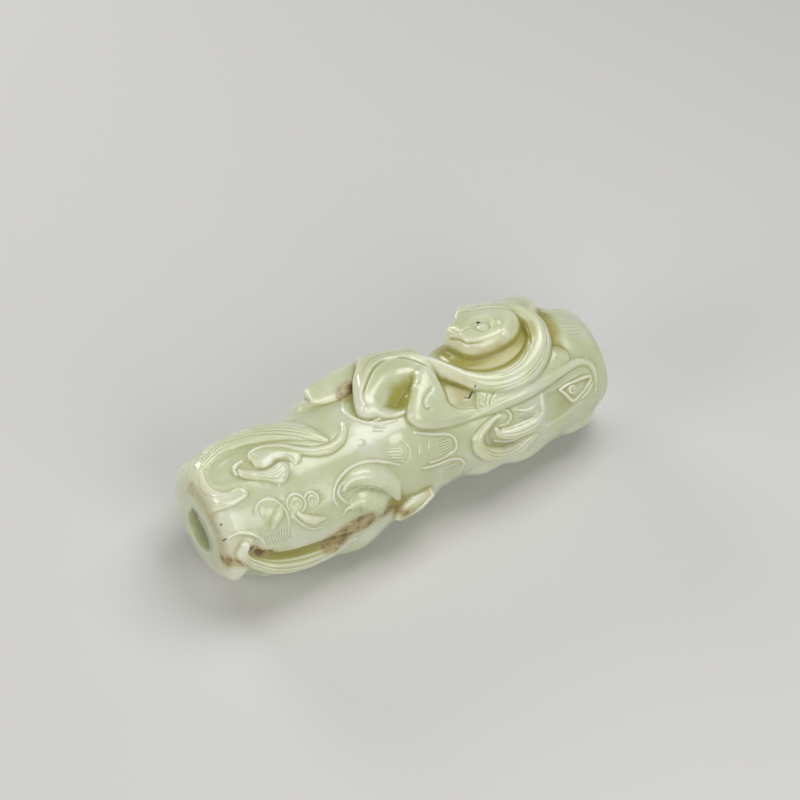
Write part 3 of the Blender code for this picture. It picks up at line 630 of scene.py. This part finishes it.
def carve_body_lines(carving):
    """Fine lines on the coil, the haunch and the neck."""
    carving.groove([(37.9, 6), (37.6, 0), (38.1, -7), (40.3, -14.5), (43.8, -24), (47.2, -28.6),
                    (50.4, -25.6), (52.8, -14), (54.2, 0), (54.3, 12)], 0.45, 0.5)
    carving.groove([(40, -20), (43.6, -31), (47.2, -37), (50.6, -35), (53.6, -22), (55.6, -9)],
                   0.24, 0.14)
    carving.bead([(37.4, 9), (39.4, 9.4), (41.4, 10.6), (42.6, 14)], 0.55, 0.7)
    carving.bead([(35.8, -27), (34.6, -15), (34.6, -4), (36, 5), (38.6, 12.5), (42, 17)], 0.5, 0.3)
    spiral = [(52, 9), (49.6, 12.5), (48.2, 17), (48.3, 22), (50, 24)]
    carving.groove(spiral, 0.45, 0.25)
    for i in range(4):
        carving.groove([(47.5 + i * 0.5, 36.5 - i * 1.1), (52.4, 42.2 - i * 1.3),
                        (57.5, 43.6 - i * 1.4), (62.5, 41.4 - i * 1.4), (66, 40.5 - i)], 0.17, 0.12)
    for turn in (0, 2.2):
        carving.groove([(61.6, 28 - turn), (64.6, 32.6 - turn), (68.4, 34 - turn),
                        (72.4, 30 - turn), (75.8, 21.5 - turn), (77.9, 10), (78.8 - turn * 0.2, -2),
                        (78.6 - turn * 0.2, -14)], 0.22, 0.18)
    for turn in (0, 2.4):
        carving.groove([(63, 20 - turn), (66.4, 24 - turn), (70, 22.6 - turn), (72.6, 17 - turn),
                        (74.6 - turn * 0.1, 8), (75.7 - turn * 0.2, -3), (75.6 - turn * 0.2, -13)],
                       0.2, 0.16)
    carving.comb([(62, 44.4), (69.2, 45.4), (75.2, 46.4), (81.6, 45.2), (84, 49)],
                 [(63, 48), (69.2, 49.4), (75.2, 50.4), (81.2, 49), (83, 52)], 3, 0.2, 0.16)
    carving.comb([(60, 30), (59.2, 36.5), (59.8, 41)], [(63.2, 31), (61.4, 37), (61, 41.6)],
                 3, 0.22, 0.18)


def carve_head(carving):
    """Head turned back along the tube: a domed near cheek and the crown behind it."""
    crown = [(63.8, -34), (65, -46), (68.2, -60), (75, -68), (81.4, -58), (82.6, -40), (81, -25),
             (77, -16), (70, -26)]
    carving.plateau(crown, crown_height, 2.6, soft=0.6)
    cheek = [(61.6, -33), (60.9, -22), (61.1, -11), (62.1, -4), (63.8, 1.2), (66.2, 3.8),
             (69.2, 4.4), (72, 1.8), (74.2, -4), (75.8, -13), (75.4, -25), (72, -36),
             (68, -42), (64.4, -41)]
    carving.plateau(cheek, cheek_height, 2.2, soft=0.4)
    carving.swell(62, -28, 2.8, 3.2, 0, lean=-1)


def carve_face(carving):
    """Mouth, eye, brow and crest line of the head."""
    carving.groove([(66.4, -35), (68.4, -32), (72.2, -24), (74.8, -15), (75.6, -8), (75.7, -2)],
                   0.55, 0.35)
    carving.bead([(64.4, -21), (65.4, -25.5), (67.2, -27.6), (69.2, -25), (70.8, -18.4),
                  (71.1, -11.4), (70.3, -5)], 0.6, 0.35)
    carving.sink([(64.9, -19), (66.6, -23.6), (68.8, -21.8), (69.9, -15.6), (69.4, -9),
                  (67.4, -6.4), (65.6, -9.6)], 0.3, 1)
    eye = [(65.6, -15), (67, -17.6), (68.4, -15.4), (68.6, -11), (67.5, -8), (66.2, -10)]
    carving.swell(67.2, -12.6, 1.4, 1.1, 0.3)
    carving.groove(eye + eye[:1], 0.2, 0.16)
    carving.groove([(62.6, -17.4), (64.2, -17.4), (65.8, -16.4)], 0.24, 0.2)
    carving.bead([(64.4, -13.4), (65.6, -8.2), (67.2, -4.6), (69, -2.6)], 0.4, 0.25)
    carving.groove([(61.6, -25), (62, -16.5), (62.6, -9.5), (64, -5.2), (65.6, -2.6)],
                   0.28, 0.34)
    carving.groove([(62.8, -27), (62.9, -21), (62.6, -16.4)], 0.22, 0.2)
    carving.swell(70.4, -1.6, 1.2, 1, 0.35)
    carving.swell(70.4, -10, 0.9, 0.7, 0.2)
    carving.prick([(67, -18.8), (67.4, -18.2)], 0.2)


def carve_lower_scroll(carving):
    """Scroll under the neck: a striated C round a tongue of three strands."""
    carving.sink([(59, 63), (58.4, 73), (59.2, 81), (61.6, 87), (64.6, 90), (67.2, 87),
                  (68.8, 82), (65.6, 79.5), (62, 78), (60.4, 70), (60.4, 61)], 0.4, 1)
    outer = [(62.4, 52.5), (60.2, 55.5), (57.8, 61.5), (56.7, 69), (56.9, 78), (58.4, 87.5),
             (61.4, 95), (65.4, 95.5), (69, 88)]
    carving.ridge(outer, (0.4, 0.9, 1.3, 1.6, 2, 2.1, 1.7, 0.7),
                  (0.4, 0.9, 1.2, 1.4, 1.6, 1.5, 1, 0.3), crown=0.7, soft=0.4)
    carving.comb([(57.6, 73), (58.8, 83), (61.6, 89.5), (65, 90), (68.4, 84.5)],
                 [(55.8, 77), (57, 91), (60.6, 99.5), (65.2, 100), (68.8, 92)], 5, 0.2, 0.16)
    tongue = [(60.9, 64), (61.5, 69.5), (63.8, 73.4), (66.6, 74.2), (69.4, 72.5), (71.2, 67)]
    carving.ridge(tongue, (0.5, 1.3, 1.7, 1.7, 1.3, 0.4), (0.6, 1.1, 1.3, 1.2, 0.9, 0.3), crown=0.7,
                  soft=0.3, lines=4, depth=0.2)
    carving.bead([(60.3, 76), (62.8, 81), (65.2, 81.6), (68, 79.4)], 0.3, 0.3)
    ring = curl(62.9, 56, 1.7, -300, start=120, shrink=0.9)
    carving.bead(ring, 0.34, 0.34)
    carving.swell(62.9, 55.5, 1.5, 1.3, 0.35)
    carving.bead([(66, 54), (68.4, 58.6), (70.6, 57)], 0.34, 0.3)
    carving.sink([(65.4, 61.5), (66.6, 59.5), (69, 60.5), (70.2, 65), (69, 69.8), (66.6, 68)],
                 0.3, 0.9)


def carve_mask(carving):
    """The beast's mask at the right end: a sunk cheek round the eye."""
    cheek = [(72.6, 51), (76, 50.5), (80.6, 50), (83.8, 53), (84.4, 62), (83.4, 72), (79, 80),
             (74, 84), (71.2, 80), (71.8, 66)]
    carving.sink(cheek, 0.5, 1.2)
    carving.bead([(72.3, 49), (71.7, 58), (71.2, 68), (70.3, 77)], 0.5, 0.35)


def carve_mask_lines(carving):
    """Eye, brow lines and combs of the mask."""
    eye = [(76.5, 55.6), (77.3, 61), (78, 67), (79, 73), (80.6, 70.4), (82.5, 66.4),
           (83.9, 62.4), (84.1, 59), (82.9, 56.6), (80.8, 55.4), (78.4, 54.6), (76.5, 55.6)]
    carving.swell(80.2, 63, 3.6, 2.6, 0.5)
    carving.bead(eye, 0.32, 0.17)
    carving.bead([(84.6, 66), (82.9, 70.4), (80.9, 75)], 0.32, 0.2)
    carving.bead(curl(79.3, 60.4, 1, 400, start=40, shrink=0.3), 0.3, 0.2)
    for i in range(4):
        carving.groove([(84 + i * 0.6, 41 - i * 1.4), (85.5 + i * 0.55, 47 - i),
                        (86 + i * 0.5, 56), (85.9 + i * 0.5, 67), (85.2 + i * 0.5, 79)],
                       0.18, 0.15)
    carving.comb([(83.2, -12), (85.4, -9.6), (87.2, -6)], [(83.2, 12.4), (84.8, 13.4), (86.4, 15)],
                 6, 0.2, 0.17)
    carving.swell(84.3, 41, 1.1, 1, 0.3)


def carve_far_tail(carving):
    """Plainer tail and foot on the side that faces away."""
    tail = [(46, -58), (43, -82), (36, -98), (27, -102), (18, -94), (14, -80), (17, -69), (21, -72)]
    carving.ridge(tail, (2.8, 2.4, 2.1, 1.7, 1.3, 0.5), (3.8, 2.6, 1.9, 1.5, 1.2, 0.3))
    carving.swell(55, -92, 6.5, 5, 2.4)
    for along, turn in ((60.5, -82), (62, -91), (61.5, -100)):
        carving.ridge([(56, -91), (along - 1.5, turn), (along, turn - 1)], (1.3, 0.9, 0.6),
                      (2.2, 1.6, 0.7))


def carve_hidden_sides(carving):
    """The front's scrolls again, mirrored on the far side and turned under the tube."""
    carving.side = -1
    carving.shift = -46
    carve_lower_scroll(carving)
    carve_mask(carving)
    carving.shift = -82
    carve_comma_pair(carving)
    carving.side = 1
    carving.shift = 0
    carve_far_tail(carving)


def rest_pads(carving):
    """Swelling under the shoulder, so that it reaches the ground with the belly."""
    carving.swell(70, 180, 10, 7.5, 1.25)


def soil_hollows(carving):
    """Brown stains and dark specks, where the stone shows them."""
    carving.tinge(carving.stain, (
        ((2.2, 88), 3.4, 3.6, 0.7),
        ([(5, 74), (6.2, 80), (8.2, 83)], 1.9, 1),
        ([(8.2, 83), (12, 86), (16, 90)], 1.2, 0.35),
        ([(20, 93), (23, 89), (26, 86), (29.4, 85)], 3.4, 0.95),
        ([(22, 101), (27, 96), (32, 93)], 2.6, 0.35),
        ([(33.5, 88), (36, 93), (38, 97)], 2.4, 0.7),
        ((43.5, 90), 3.2, 2.6, 0.4),
        ((38, -39), 3.2, 2.2, 0.6),
        ([(36, -35), (39, -37), (41, -41), (43, -46)], 1.6, 0.55),
        ([(79, 9), (81.2, -3), (82.2, -16), (82.4, -30)], 1.4, 0.55),
        ([(61.6, -2), (65.6, 2.6), (70, 4.5)], 1.3, 0.4),
        ([(62.4, -26), (62.4, -14)], 1.2, 0.35),
        ((57, 20), 3.2, 3.2, 0.55),
        ((84, 96), 4, 3, 0.4),
        ([(0.1, -24), (0.1, 10), (0.1, 40), (0.2, 70), (0.2, 104)], 1.5, 0.5)))
    for points, half in (([(58.2, 27), (58.9, 24.4), (59.3, 23)], 0.22),
                         ([(59.8, 21.6), (60, 21)], 0.12), ([(57.4, 25), (58.2, 26.8)], 0.16),
                         ([(1, 42.4), (1.1, 41.2)], 0.13), ([(0.5, 59), (0.9, 57.6)], 0.18)):
        carving.prick(points, half)


def shade_hollows(carving):
    """Painted shade, a dark yellow-green, in the lowest hollows and along the left rim, where the
    light does not reach them.
    """
    carving.tinge(carving.olive, (
        ([(60, -40), (59.6, -20), (60.4, -6), (63, 6), (67, 11), (71.6, 9), (74.6, 0)], 3.4, 1),
        ([(61.2, -20), (62, -8), (64.6, 1), (68, 3)], 1.2, 0.4),
        ((45.5, 2), 4.4, 4, 0.9),
        ((49, -6), 3, 3, 0.4),
        ((57, 18), 3.4, 4, 0.7),
        ([(80, 20), (81.4, 0), (82, -22)], 2.8, 0.55),
        ([(36, 86), (38, 96)], 3.4, 0.6),
        ([(5, 80), (10, 88), (16, 92), (24, 92)], 3, 0.55),
        ([(1.6, 60), (2, 75), (2.4, 92)], 2.2, 0.35),
        ([(30, -33), (36, -30), (40, -24)], 2.4, 0.35),
        ([(58, 60), (57.4, 74), (59.4, 88)], 1.4, 0.4),
        ((76, 70), 4, 3.4, 0.45),
        ((81, -98), 7, 6, 0.3)))


def carve_all(step):
    """The whole carving as one map."""
    carving = Carving(step)
    steps = (carve_broad_ground, rest_pads, carve_upper_lock, carve_scroll, carve_small_rings,
             carve_lower_lock, carve_comma_pair, carve_lug, carve_combs, carve_lower_scroll,
             carve_mask, carve_mask_lines, carve_hidden_sides, carve_wing, carve_body, carve_head,
             carve_body_lines, carve_face, soil_hollows, shade_hollows)
    for carve in steps:
        carve(carving)
    return carving


# The tube itself

def tube_radius(along, sizes, unit):
    """Radius of the bare tube along its length, with both rims rounded over."""
    belly, waist = sizes.belly_radius / unit, sizes.waist_radius / unit
    shoulder = sizes.shoulder_radius / unit
    swelling = [(0, belly * 0.83), (3, belly * 0.868), (5, belly * 0.9), (8, belly * 0.955),
                (12, belly * 0.985), (18, belly), (28, belly * 0.995), (37, belly * 0.945),
                (44, (belly + waist) / 2), (50, waist * 1.015), (55, waist),
                (62, (waist + shoulder) / 2), (69, shoulder), (76, shoulder * 0.97),
                (81, shoulder * 0.93), (83.4, shoulder * 0.905), (86, shoulder * 0.825),
                (UNITS_ALONG, shoulder * 0.725)]
    radius = smooth_steps(swelling, along)
    for rim, from_end, reach in ((sizes.left_rim_radius, along, RIM_ROUND[0]),
                                 (sizes.right_rim_radius, UNITS_ALONG - along, RIM_ROUND[1])):
        drop = radius - rim / unit
        x = np.clip(1 - from_end / reach, 0, 1)
        radius = radius - drop * (1 - np.sqrt(1 - x * x))
    return radius


def tube_bow(along):
    """How far the tube's middle bows up and back from its straight axis."""
    knots = [(0, 1.3), (2.5, 1.7), (5, 1.6), (9, 1.1), (14, 0.6), (24, 0.0), (36, -0.2), (50, 0.3),
             (62, 0.2), (76, 0.2), (86, 0.4), (UNITS_ALONG, 0.5)]
    return smooth_steps(knots, along)


def softened(height, cells):
    """The map blurred over a number of cells each way, round the tube and along it."""
    offsets = np.arange(-cells, cells + 1)
    weights = np.exp(-0.5 * (offsets / (cells * 0.45)) ** 2)
    weights /= weights.sum()
    rows = np.arange(height.shape[0])
    along = sum(w * height[np.clip(rows + o, 0, len(rows) - 1)] for o, w in zip(offsets, weights))
    return sum(w * np.roll(along, o, axis=1) for o, w in zip(offsets, weights))


def outer_surface(carving, sizes, unit):
    """Carved outer surface of the tube, as rows of points in metres."""
    along = carving.along
    turn = np.radians(carving.turn)[None, :]
    fade = np.clip(np.minimum(along, UNITS_ALONG - along) / RIM_FADE, 0, 1)[:, None]
    fade = fade * (2 - fade)
    radius = tube_radius(along, sizes, unit)[:, None] + carving.height * fade
    bow = tube_bow(along)[:, None]
    grid = np.empty(radius.shape + (3,))
    grid[..., 0] = along[:, None] - UNITS_ALONG / 2 + carving.lean * fade
    grid[..., 1] = bow * BOW[0] - radius * np.sin(turn)
    grid[..., 2] = bow * BOW[1] + radius * np.cos(turn)
    return grid * unit + (0, AXIS_SIDE, AXIS_HEIGHT)


def bore_ring(turn, x, wider, sizes, unit):
    """Ring of points on the bore's wall."""
    radius = sizes.bore_diameter / 2 + wider * unit
    ring = np.empty((len(turn), 3))
    ring[:, 0] = x
    ring[:, 1] = AXIS_SIDE + BORE_SET_BACK - radius * np.sin(turn)
    ring[:, 2] = AXIS_HEIGHT - BORE_DROP + radius * np.cos(turn)
    return ring


def face_rings(rim, mouth, way):
    """Rings of a slightly domed end face, from its rim in to the bore's mouth."""
    middle = rim.mean(axis=0)
    reach = np.linalg.norm(rim[:, 1:] - middle[1:], axis=1)
    rings = []
    for share in FACE_RINGS:
        ring = mouth + (rim - mouth) * share
        out = np.linalg.norm(ring[:, 1:] - middle[1:], axis=1) / reach
        ring[:, 0] = rim[:, 0] + way * FACE_DOME * (1 - out ** 2)
        rings.append(ring)
    return rings


def tube_rows(carving, sizes, unit):
    """Every row of the closed surface: outside, right face, bore and left face."""
    outside = outer_surface(carving, sizes, unit)
    turn = np.radians(carving.turn)
    end = sizes.length / 2 + FACE_DOME - END_TRIM
    rows = [row for row in outside]
    walls = [(end - depth * unit, wider) for depth, wider in MOUTH_ROWS]
    count = int((end * 2 / unit - 2 * MOUTH_ROWS[-1][0]) / BORE_STEP)
    inner = np.linspace(walls[-1][0], -walls[-1][0], count)[1:-1]
    walls += [(x, 0.0) for x in inner] + [(-x, wider) for x, wider in walls[::-1]]
    bore = [bore_ring(turn, x, wider, sizes, unit) for x, wider in walls]
    rows += face_rings(outside[-1], bore[0], 1)
    rows += bore
    rows += face_rings(outside[0], bore[-1], -1)[::-1]
    rows = np.array(rows)
    rows[..., 0] = np.clip(rows[..., 0], -end, end)
    rows[..., 2] = np.maximum(rows[..., 2], 0.0)
    return rows


def ring_mesh(name, rows):
    """Mesh of rows that close on themselves both ways."""
    count, columns = rows.shape[:2]
    row, column = np.meshgrid(np.arange(count), np.arange(columns), indexing="ij")
    next_row, next_column = (row + 1) % count, (column + 1) % columns
    corners = np.stack([row * columns + column, row * columns + next_column,
                        next_row * columns + next_column, next_row * columns + column], axis=-1)
    faces = count * columns
    mesh = bpy.data.meshes.new(name)
    mesh.vertices.add(faces)
    mesh.vertices.foreach_set("co", rows.astype(np.float32).ravel())
    mesh.loops.add(faces * 4)
    mesh.loops.foreach_set("vertex_index", corners.astype(np.int32).ravel())
    mesh.polygons.add(faces)
    mesh.polygons.foreach_set("loop_start", np.arange(0, faces * 4, 4, dtype=np.int32))
    mesh.update(calc_edges=True)
    mesh.validate()
    return mesh


def surface_marks(carving, rows):
    """How hollow, how raised and how stained each point of the surface is; hollows and creases get
    painted shade, crests wear and painted highlight.
    """
    step = UNITS_ALONG / (len(carving.along) - 1)
    broad, close, fine = (softened(carving.height, int(reach / step)) - carving.height
                          for reach in MARK_REACH)
    rest = rows.shape[0] - len(carving.along)
    # The hollow and crevice marks become painted shade in the finish, and the crest mark wear and
    # painted highlight
    marks = {
        "hollow": np.clip(broad / HOLLOW_FULL, 0, 1),
        "crest": np.clip(-close / CREST_FULL[0] - fine / CREST_FULL[1], 0, 1),
        "crevice": np.clip(close / CREVICE_FULL[0] + fine / CREVICE_FULL[1], 0, 1),
        "stain": np.clip(carving.stain, 0, 1),
        "olive": np.clip(carving.olive, 0, 1),
        "speck": carving.speck,
    }
    # Cream band along the left rim: wear, and painted highlight
    marks["crest"] += 0.7 * np.exp(-((carving.along - RIM_WEAR_AND_HIGHLIGHT) / RIM_WEAR_AND_HIGHLIGHT) ** 2)[:, None]
    return {name: np.vstack([mark, np.zeros((rest, carving.columns))])
            for name, mark in marks.items()}


def inner_marks(carving, marks):
    """Adds the stain of the rims and the grime at the bore's upper edge."""
    start = len(carving.along)
    turn = carving.turn
    faces = len(FACE_RINGS)
    rim = np.exp(-((turn - RIM_STAIN[0]) / RIM_STAIN[1]) ** 2)
    for i in range(faces):
        near_rim = max(0.0, 1 - i / STAINED_RINGS)
        marks["stain"][start + i] = 0.4 * near_rim * rim
        marks["stain"][-1 - i] = 0.5 * near_rim * rim
    last_wall = len(marks["stain"]) - faces - 1
    grime = np.exp(-((turn - MOUTH_GRIME[0]) / MOUTH_GRIME[1]) ** 2)
    for row in range(last_wall + 1, last_wall + 1 - GRIMY_ROWS, -1):
        marks["stain"][row] = np.maximum(marks["stain"][row], grime)
        marks["speck"][row] = 0.6 * grime ** 3


# Shader maths, written as expressions

class Reading:
    """A value inside a material. Sums of such values add the Math nodes that they need."""

    def __init__(self, recipe, socket):
        self.recipe = recipe
        self.socket = socket

    def math(self, operation, first, second):
        return self.recipe.node("ShaderNodeMath", {"operation": operation}, {0: first, 1: second})

    def __add__(self, other):
        return self.math("ADD", self, other)

    def __sub__(self, other):
        return self.math("SUBTRACT", self, other)

    def __rsub__(self, other):
        return self.math("SUBTRACT", other, self)

    def __mul__(self, other):
        return self.math("MULTIPLY", self, other)

    __radd__ = __add__
    __rmul__ = __mul__

    def ramp(self, low, high):
        """0 below low, 1 above high and smooth between them."""
        return self.recipe.node("ShaderNodeMapRange", {"interpolation_type": "SMOOTHSTEP"},
                                {0: self, 1: low, 2: high, 3: 0.0, 4: 1.0})


class Recipe:
    """A material that is built node by node round one Principled shader."""

    def __init__(self, name):
        self.material = bpy.data.materials.new(name)
        self.material.use_nodes = True
        self.tree = self.material.node_tree
        self.shader = self.tree.nodes["Principled BSDF"]

    def node(self, kind, settings=None, sockets=None, output=0):
        """Adds a node, with its settings first and then the values or links of its sockets."""
        node = self.tree.nodes.new(kind)
        for name, value in (settings or {}).items():
            setattr(node, name, value)
        for key, value in (sockets or {}).items():
            self.feed(node.inputs[key], value)
        return Reading(self, node.outputs[output])

    def feed(self, socket, value):
        """Links a reading to a socket, or sets the socket's own value."""
        if isinstance(value, Reading):
            self.tree.links.new(value.socket, socket)
        else:
            socket.default_value = value

    def finish(self, name, value):
        """Feeds one of the shader's own sockets."""
        self.feed(self.shader.inputs[name], value)

    def mark(self, name):
        """A mark that is kept on the mesh."""
        return self.node("ShaderNodeAttribute", {"attribute_name": name}, output="Fac")

    def place(self):
        """Place on the object, in metres."""
        return self.node("ShaderNodeTexCoord", output="Object")

    def noise(self, place, scale, detail=4.0, rough=0.55, output="Fac"):
        return self.node("ShaderNodeTexNoise", {}, {"Vector": place, "Scale": scale,
                                                    "Detail": detail, "Roughness": rough}, output)

    def mix(self, share, first, second):
        """Mix of two colours, or of what is there and a colour."""
        return self.node("ShaderNodeMix", {"data_type": "RGBA", "clamp_factor": True},
                         {0: share, 6: first, 7: second}, output=2)


def opaque(colour):
    """Colour with full alpha."""
    return (*colour, 1.0)


def jade_finish(colours):
    """Polished nephrite: clouded celadon, painted shade in its hollows and creases, cream of wear
    and painted highlight on its crests, stained.
    """
    jade = Recipe(SLOT)
    place = jade.place()
    clouds = jade.noise(place, 70, 5, 0.6)
    drift = jade.noise(place, 260, 4, 0.6)
    grain = jade.noise(place, 1400, 3, 0.6)
    hollow, crest = jade.mark("hollow"), jade.mark("crest")
    crevice, stain, speck = jade.mark("crevice"), jade.mark("stain"), jade.mark("speck")
    tint = jade.mix(clouds.ramp(0.42, 0.66), opaque(colours.stone), opaque(colours.cloud))
    # Painted shade: a dark tint in the broad hollows and wherever the map of painted shade lies
    olive = hollow * (0.4 + 0.7 * drift) + jade.mark("olive") * (0.8 + 0.6 * clouds)
    tint = jade.mix(olive.ramp(0.05, 0.95), tint, opaque(colours.shade_tint))
    # Cream on the crests: wear, and painted highlight
    tint = jade.mix(crest * (0.5 + 0.4 * clouds), tint, opaque(colours.worn_and_highlit))
    # Painted shade in the creases
    tint = jade.mix(crevice * 0.6, tint, opaque(colours.shade_tint))
    patchy = (stain * (0.5 + 1.1 * drift)).ramp(0.12, 0.95) * (0.8 + 0.3 * grain.ramp(0.3, 0.7))
    tint = jade.mix(patchy * 0.85, tint, opaque(colours.tan))
    fibres = jade.noise(place, 480, 5, 0.65)
    tint = jade.mix(patchy * patchy * (0.3 + fibres.ramp(0.36, 0.64)) * 0.8, tint,
                    opaque(colours.rust))
    tint = jade.mix(patchy * patchy * fibres.ramp(0.44, 0.66) * 0.5, tint, opaque(colours.dirt))
    tint = jade.mix(speck, tint, opaque(colours.dirt))
    jade.finish("Base Color", tint)
    dull = 0.15 + 0.1 * drift + 0.2 * hollow + 0.28 * patchy + 0.12 * crevice
    jade.finish("Roughness", dull)
    pits = jade.noise(place, 2600, 2, 0.5)
    scratches = jade.noise(place, 420, 5, 0.7)
    relief = 0.6 * pits + 1.2 * scratches + 1.5 * patchy * grain
    bump = jade.node("ShaderNodeBump", {}, {"Strength": 0.4, "Distance": 0.00008, "Height": relief})
    jade.finish("Normal", bump)
    for name, value in POLISH.items():
        jade.finish(name, value)
    return jade.material


def floor_finish(colour):
    """Plain matt floor."""
    floor = Recipe("studio_floor")
    speckle = floor.noise(floor.place(), 900, 2, 0.5)
    floor.finish("Base Color", opaque(colour))
    floor.finish("Roughness", 0.62 + 0.1 * speckle)
    return floor.material


# Operators

class JADE_OT_carve_tube(bpy.types.Operator):
    """Carve the tube with its dragon, stain and polish it"""
    bl_idname = "jade.carve_tube"
    bl_label = "Carve jade tube"

    def execute(self, context):
        sizes = context.scene.jade_tube_sizes
        unit = sizes.length / UNITS_ALONG
        carving = carve_all(sizes.fineness * (1))
        rows = tube_rows(carving, sizes, unit)
        mesh = ring_mesh("jade_tube_carved", rows)
        marks = surface_marks(carving, rows)
        inner_marks(carving, marks)
        for name, values in marks.items():
            mark = mesh.attributes.new(name, "FLOAT", "POINT")
            mark.data.foreach_set("value", values.astype(np.float32).ravel())
        mesh.materials.append(jade_finish(context.scene.jade_tube_colours))
        piece = bpy.data.objects.new("jade_tube_carved", mesh)
        context.scene.collection.objects.link(piece)
        thin = piece.modifiers.new("fewer_facets", "DECIMATE")
        thin.ratio = min(1.0, TOP_WEIGHT / (2 * len(mesh.polygons)))
        context.view_layer.objects.active = piece
        with context.temp_override(object=piece, active_object=piece):
            bpy.ops.object.modifier_apply(modifier=thin.name)
        piece.data.shade_smooth()
        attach(piece, BODY)
        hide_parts(NODE)
        return {"FINISHED"}


def soft_light(name, place, size, power, target):
    """Square soft light that faces the tube."""
    light = bpy.data.lights.new(name, "AREA")
    light.size = size
    light.energy = power
    lamp = bpy.data.objects.new(name, light)
    bpy.context.scene.collection.objects.link(lamp)
    lamp.location = place
    lamp.rotation_euler = (target - place).to_track_quat("-Z", "Y").to_euler()


class JADE_OT_set_stage(bpy.types.Operator):
    """Lay the floor and set the lights and the camera"""
    bl_idname = "jade.set_stage"
    bl_label = "Set the stage"

    def execute(self, context):
        plan = context.scene.jade_tube_stage
        bpy.ops.mesh.primitive_plane_add(size=FLOOR_WIDTH, location=(0, 0, 0))
        floor = context.object
        floor.name = "studio_floor"
        floor.data.materials.append(floor_finish(plan.floor))
        turn, tilt = plan.turn, plan.tilt
        right = Vector((math.cos(turn), math.sin(turn), 0))
        flat, rise = math.cos(tilt), math.sin(tilt)
        back = Vector((math.sin(turn) * flat, -math.cos(turn) * flat, rise))
        up = back.cross(right)
        target = Vector((FACED, AXIS_SIDE, AXIS_HEIGHT))
        place = target + back * plan.distance + right * EYE_SHIFT[0] + up * EYE_SHIFT[1]
        camera = bpy.data.cameras.new("camera")
        camera.sensor_width = 36
        camera.lens = LENS_SHARE * camera.sensor_width
        camera.clip_start = 0.01
        eye = bpy.data.objects.new("camera", camera)
        context.scene.collection.objects.link(eye)
        eye.matrix_world = Matrix((
            (right.x, up.x, back.x, place.x),
            (right.y, up.y, back.y, place.y),
            (right.z, up.z, back.z, place.z),
            (0, 0, 0, 1)))
        context.scene.camera = eye
        for name, sideways, above, nearer, size in LIGHTS:
            stand = target + right * sideways + up * above + back * nearer
            soft_light(name, stand, size, getattr(plan, name), target)
        world = bpy.data.worlds.new("studio")
        world.use_nodes = True
        for name, value in SKY.items():
            world.node_tree.nodes["Background"].inputs[name].default_value = value
        context.scene.world = world
        context.scene.view_settings.view_transform = "Standard"
        return {"FINISHED"}


class JADE_PT_tube(bpy.types.Panel):
    """Sidebar panel of the carved jade tube"""
    bl_idname = "JADE_PT_tube"
    bl_label = "Carved jade tube"
    bl_space_type = "VIEW_3D"
    bl_region_type = "UI"
    bl_category = "Jade tube"

    def draw(self, context):
        layout = self.layout
        for settings in (context.scene.jade_tube_sizes, context.scene.jade_tube_colours,
                         context.scene.jade_tube_stage):
            box = layout.box()
            for name in settings.__annotations__:
                box.prop(settings, name)
        layout.operator("jade.carve_tube")
        layout.operator("jade.set_stage")


CLASSES = (TubeSizes, JadeColours, StagePlan, JADE_OT_carve_tube, JADE_OT_set_stage, JADE_PT_tube)


def register():
    for item in CLASSES:
        bpy.utils.register_class(item)
    bpy.types.Scene.jade_tube_sizes = bpy.props.PointerProperty(type=TubeSizes)
    bpy.types.Scene.jade_tube_colours = bpy.props.PointerProperty(type=JadeColours)
    bpy.types.Scene.jade_tube_stage = bpy.props.PointerProperty(type=StagePlan)


def unregister():
    del bpy.types.Scene.jade_tube_stage
    del bpy.types.Scene.jade_tube_colours
    del bpy.types.Scene.jade_tube_sizes
    for item in reversed(CLASSES):
        bpy.utils.unregister_class(item)


def main():
    """Registers the classes and makes the piece and its stage."""
    register()
    bpy.ops.jade.carve_tube()
    bpy.ops.jade.set_stage()


if __name__ == "__main__":
    main()
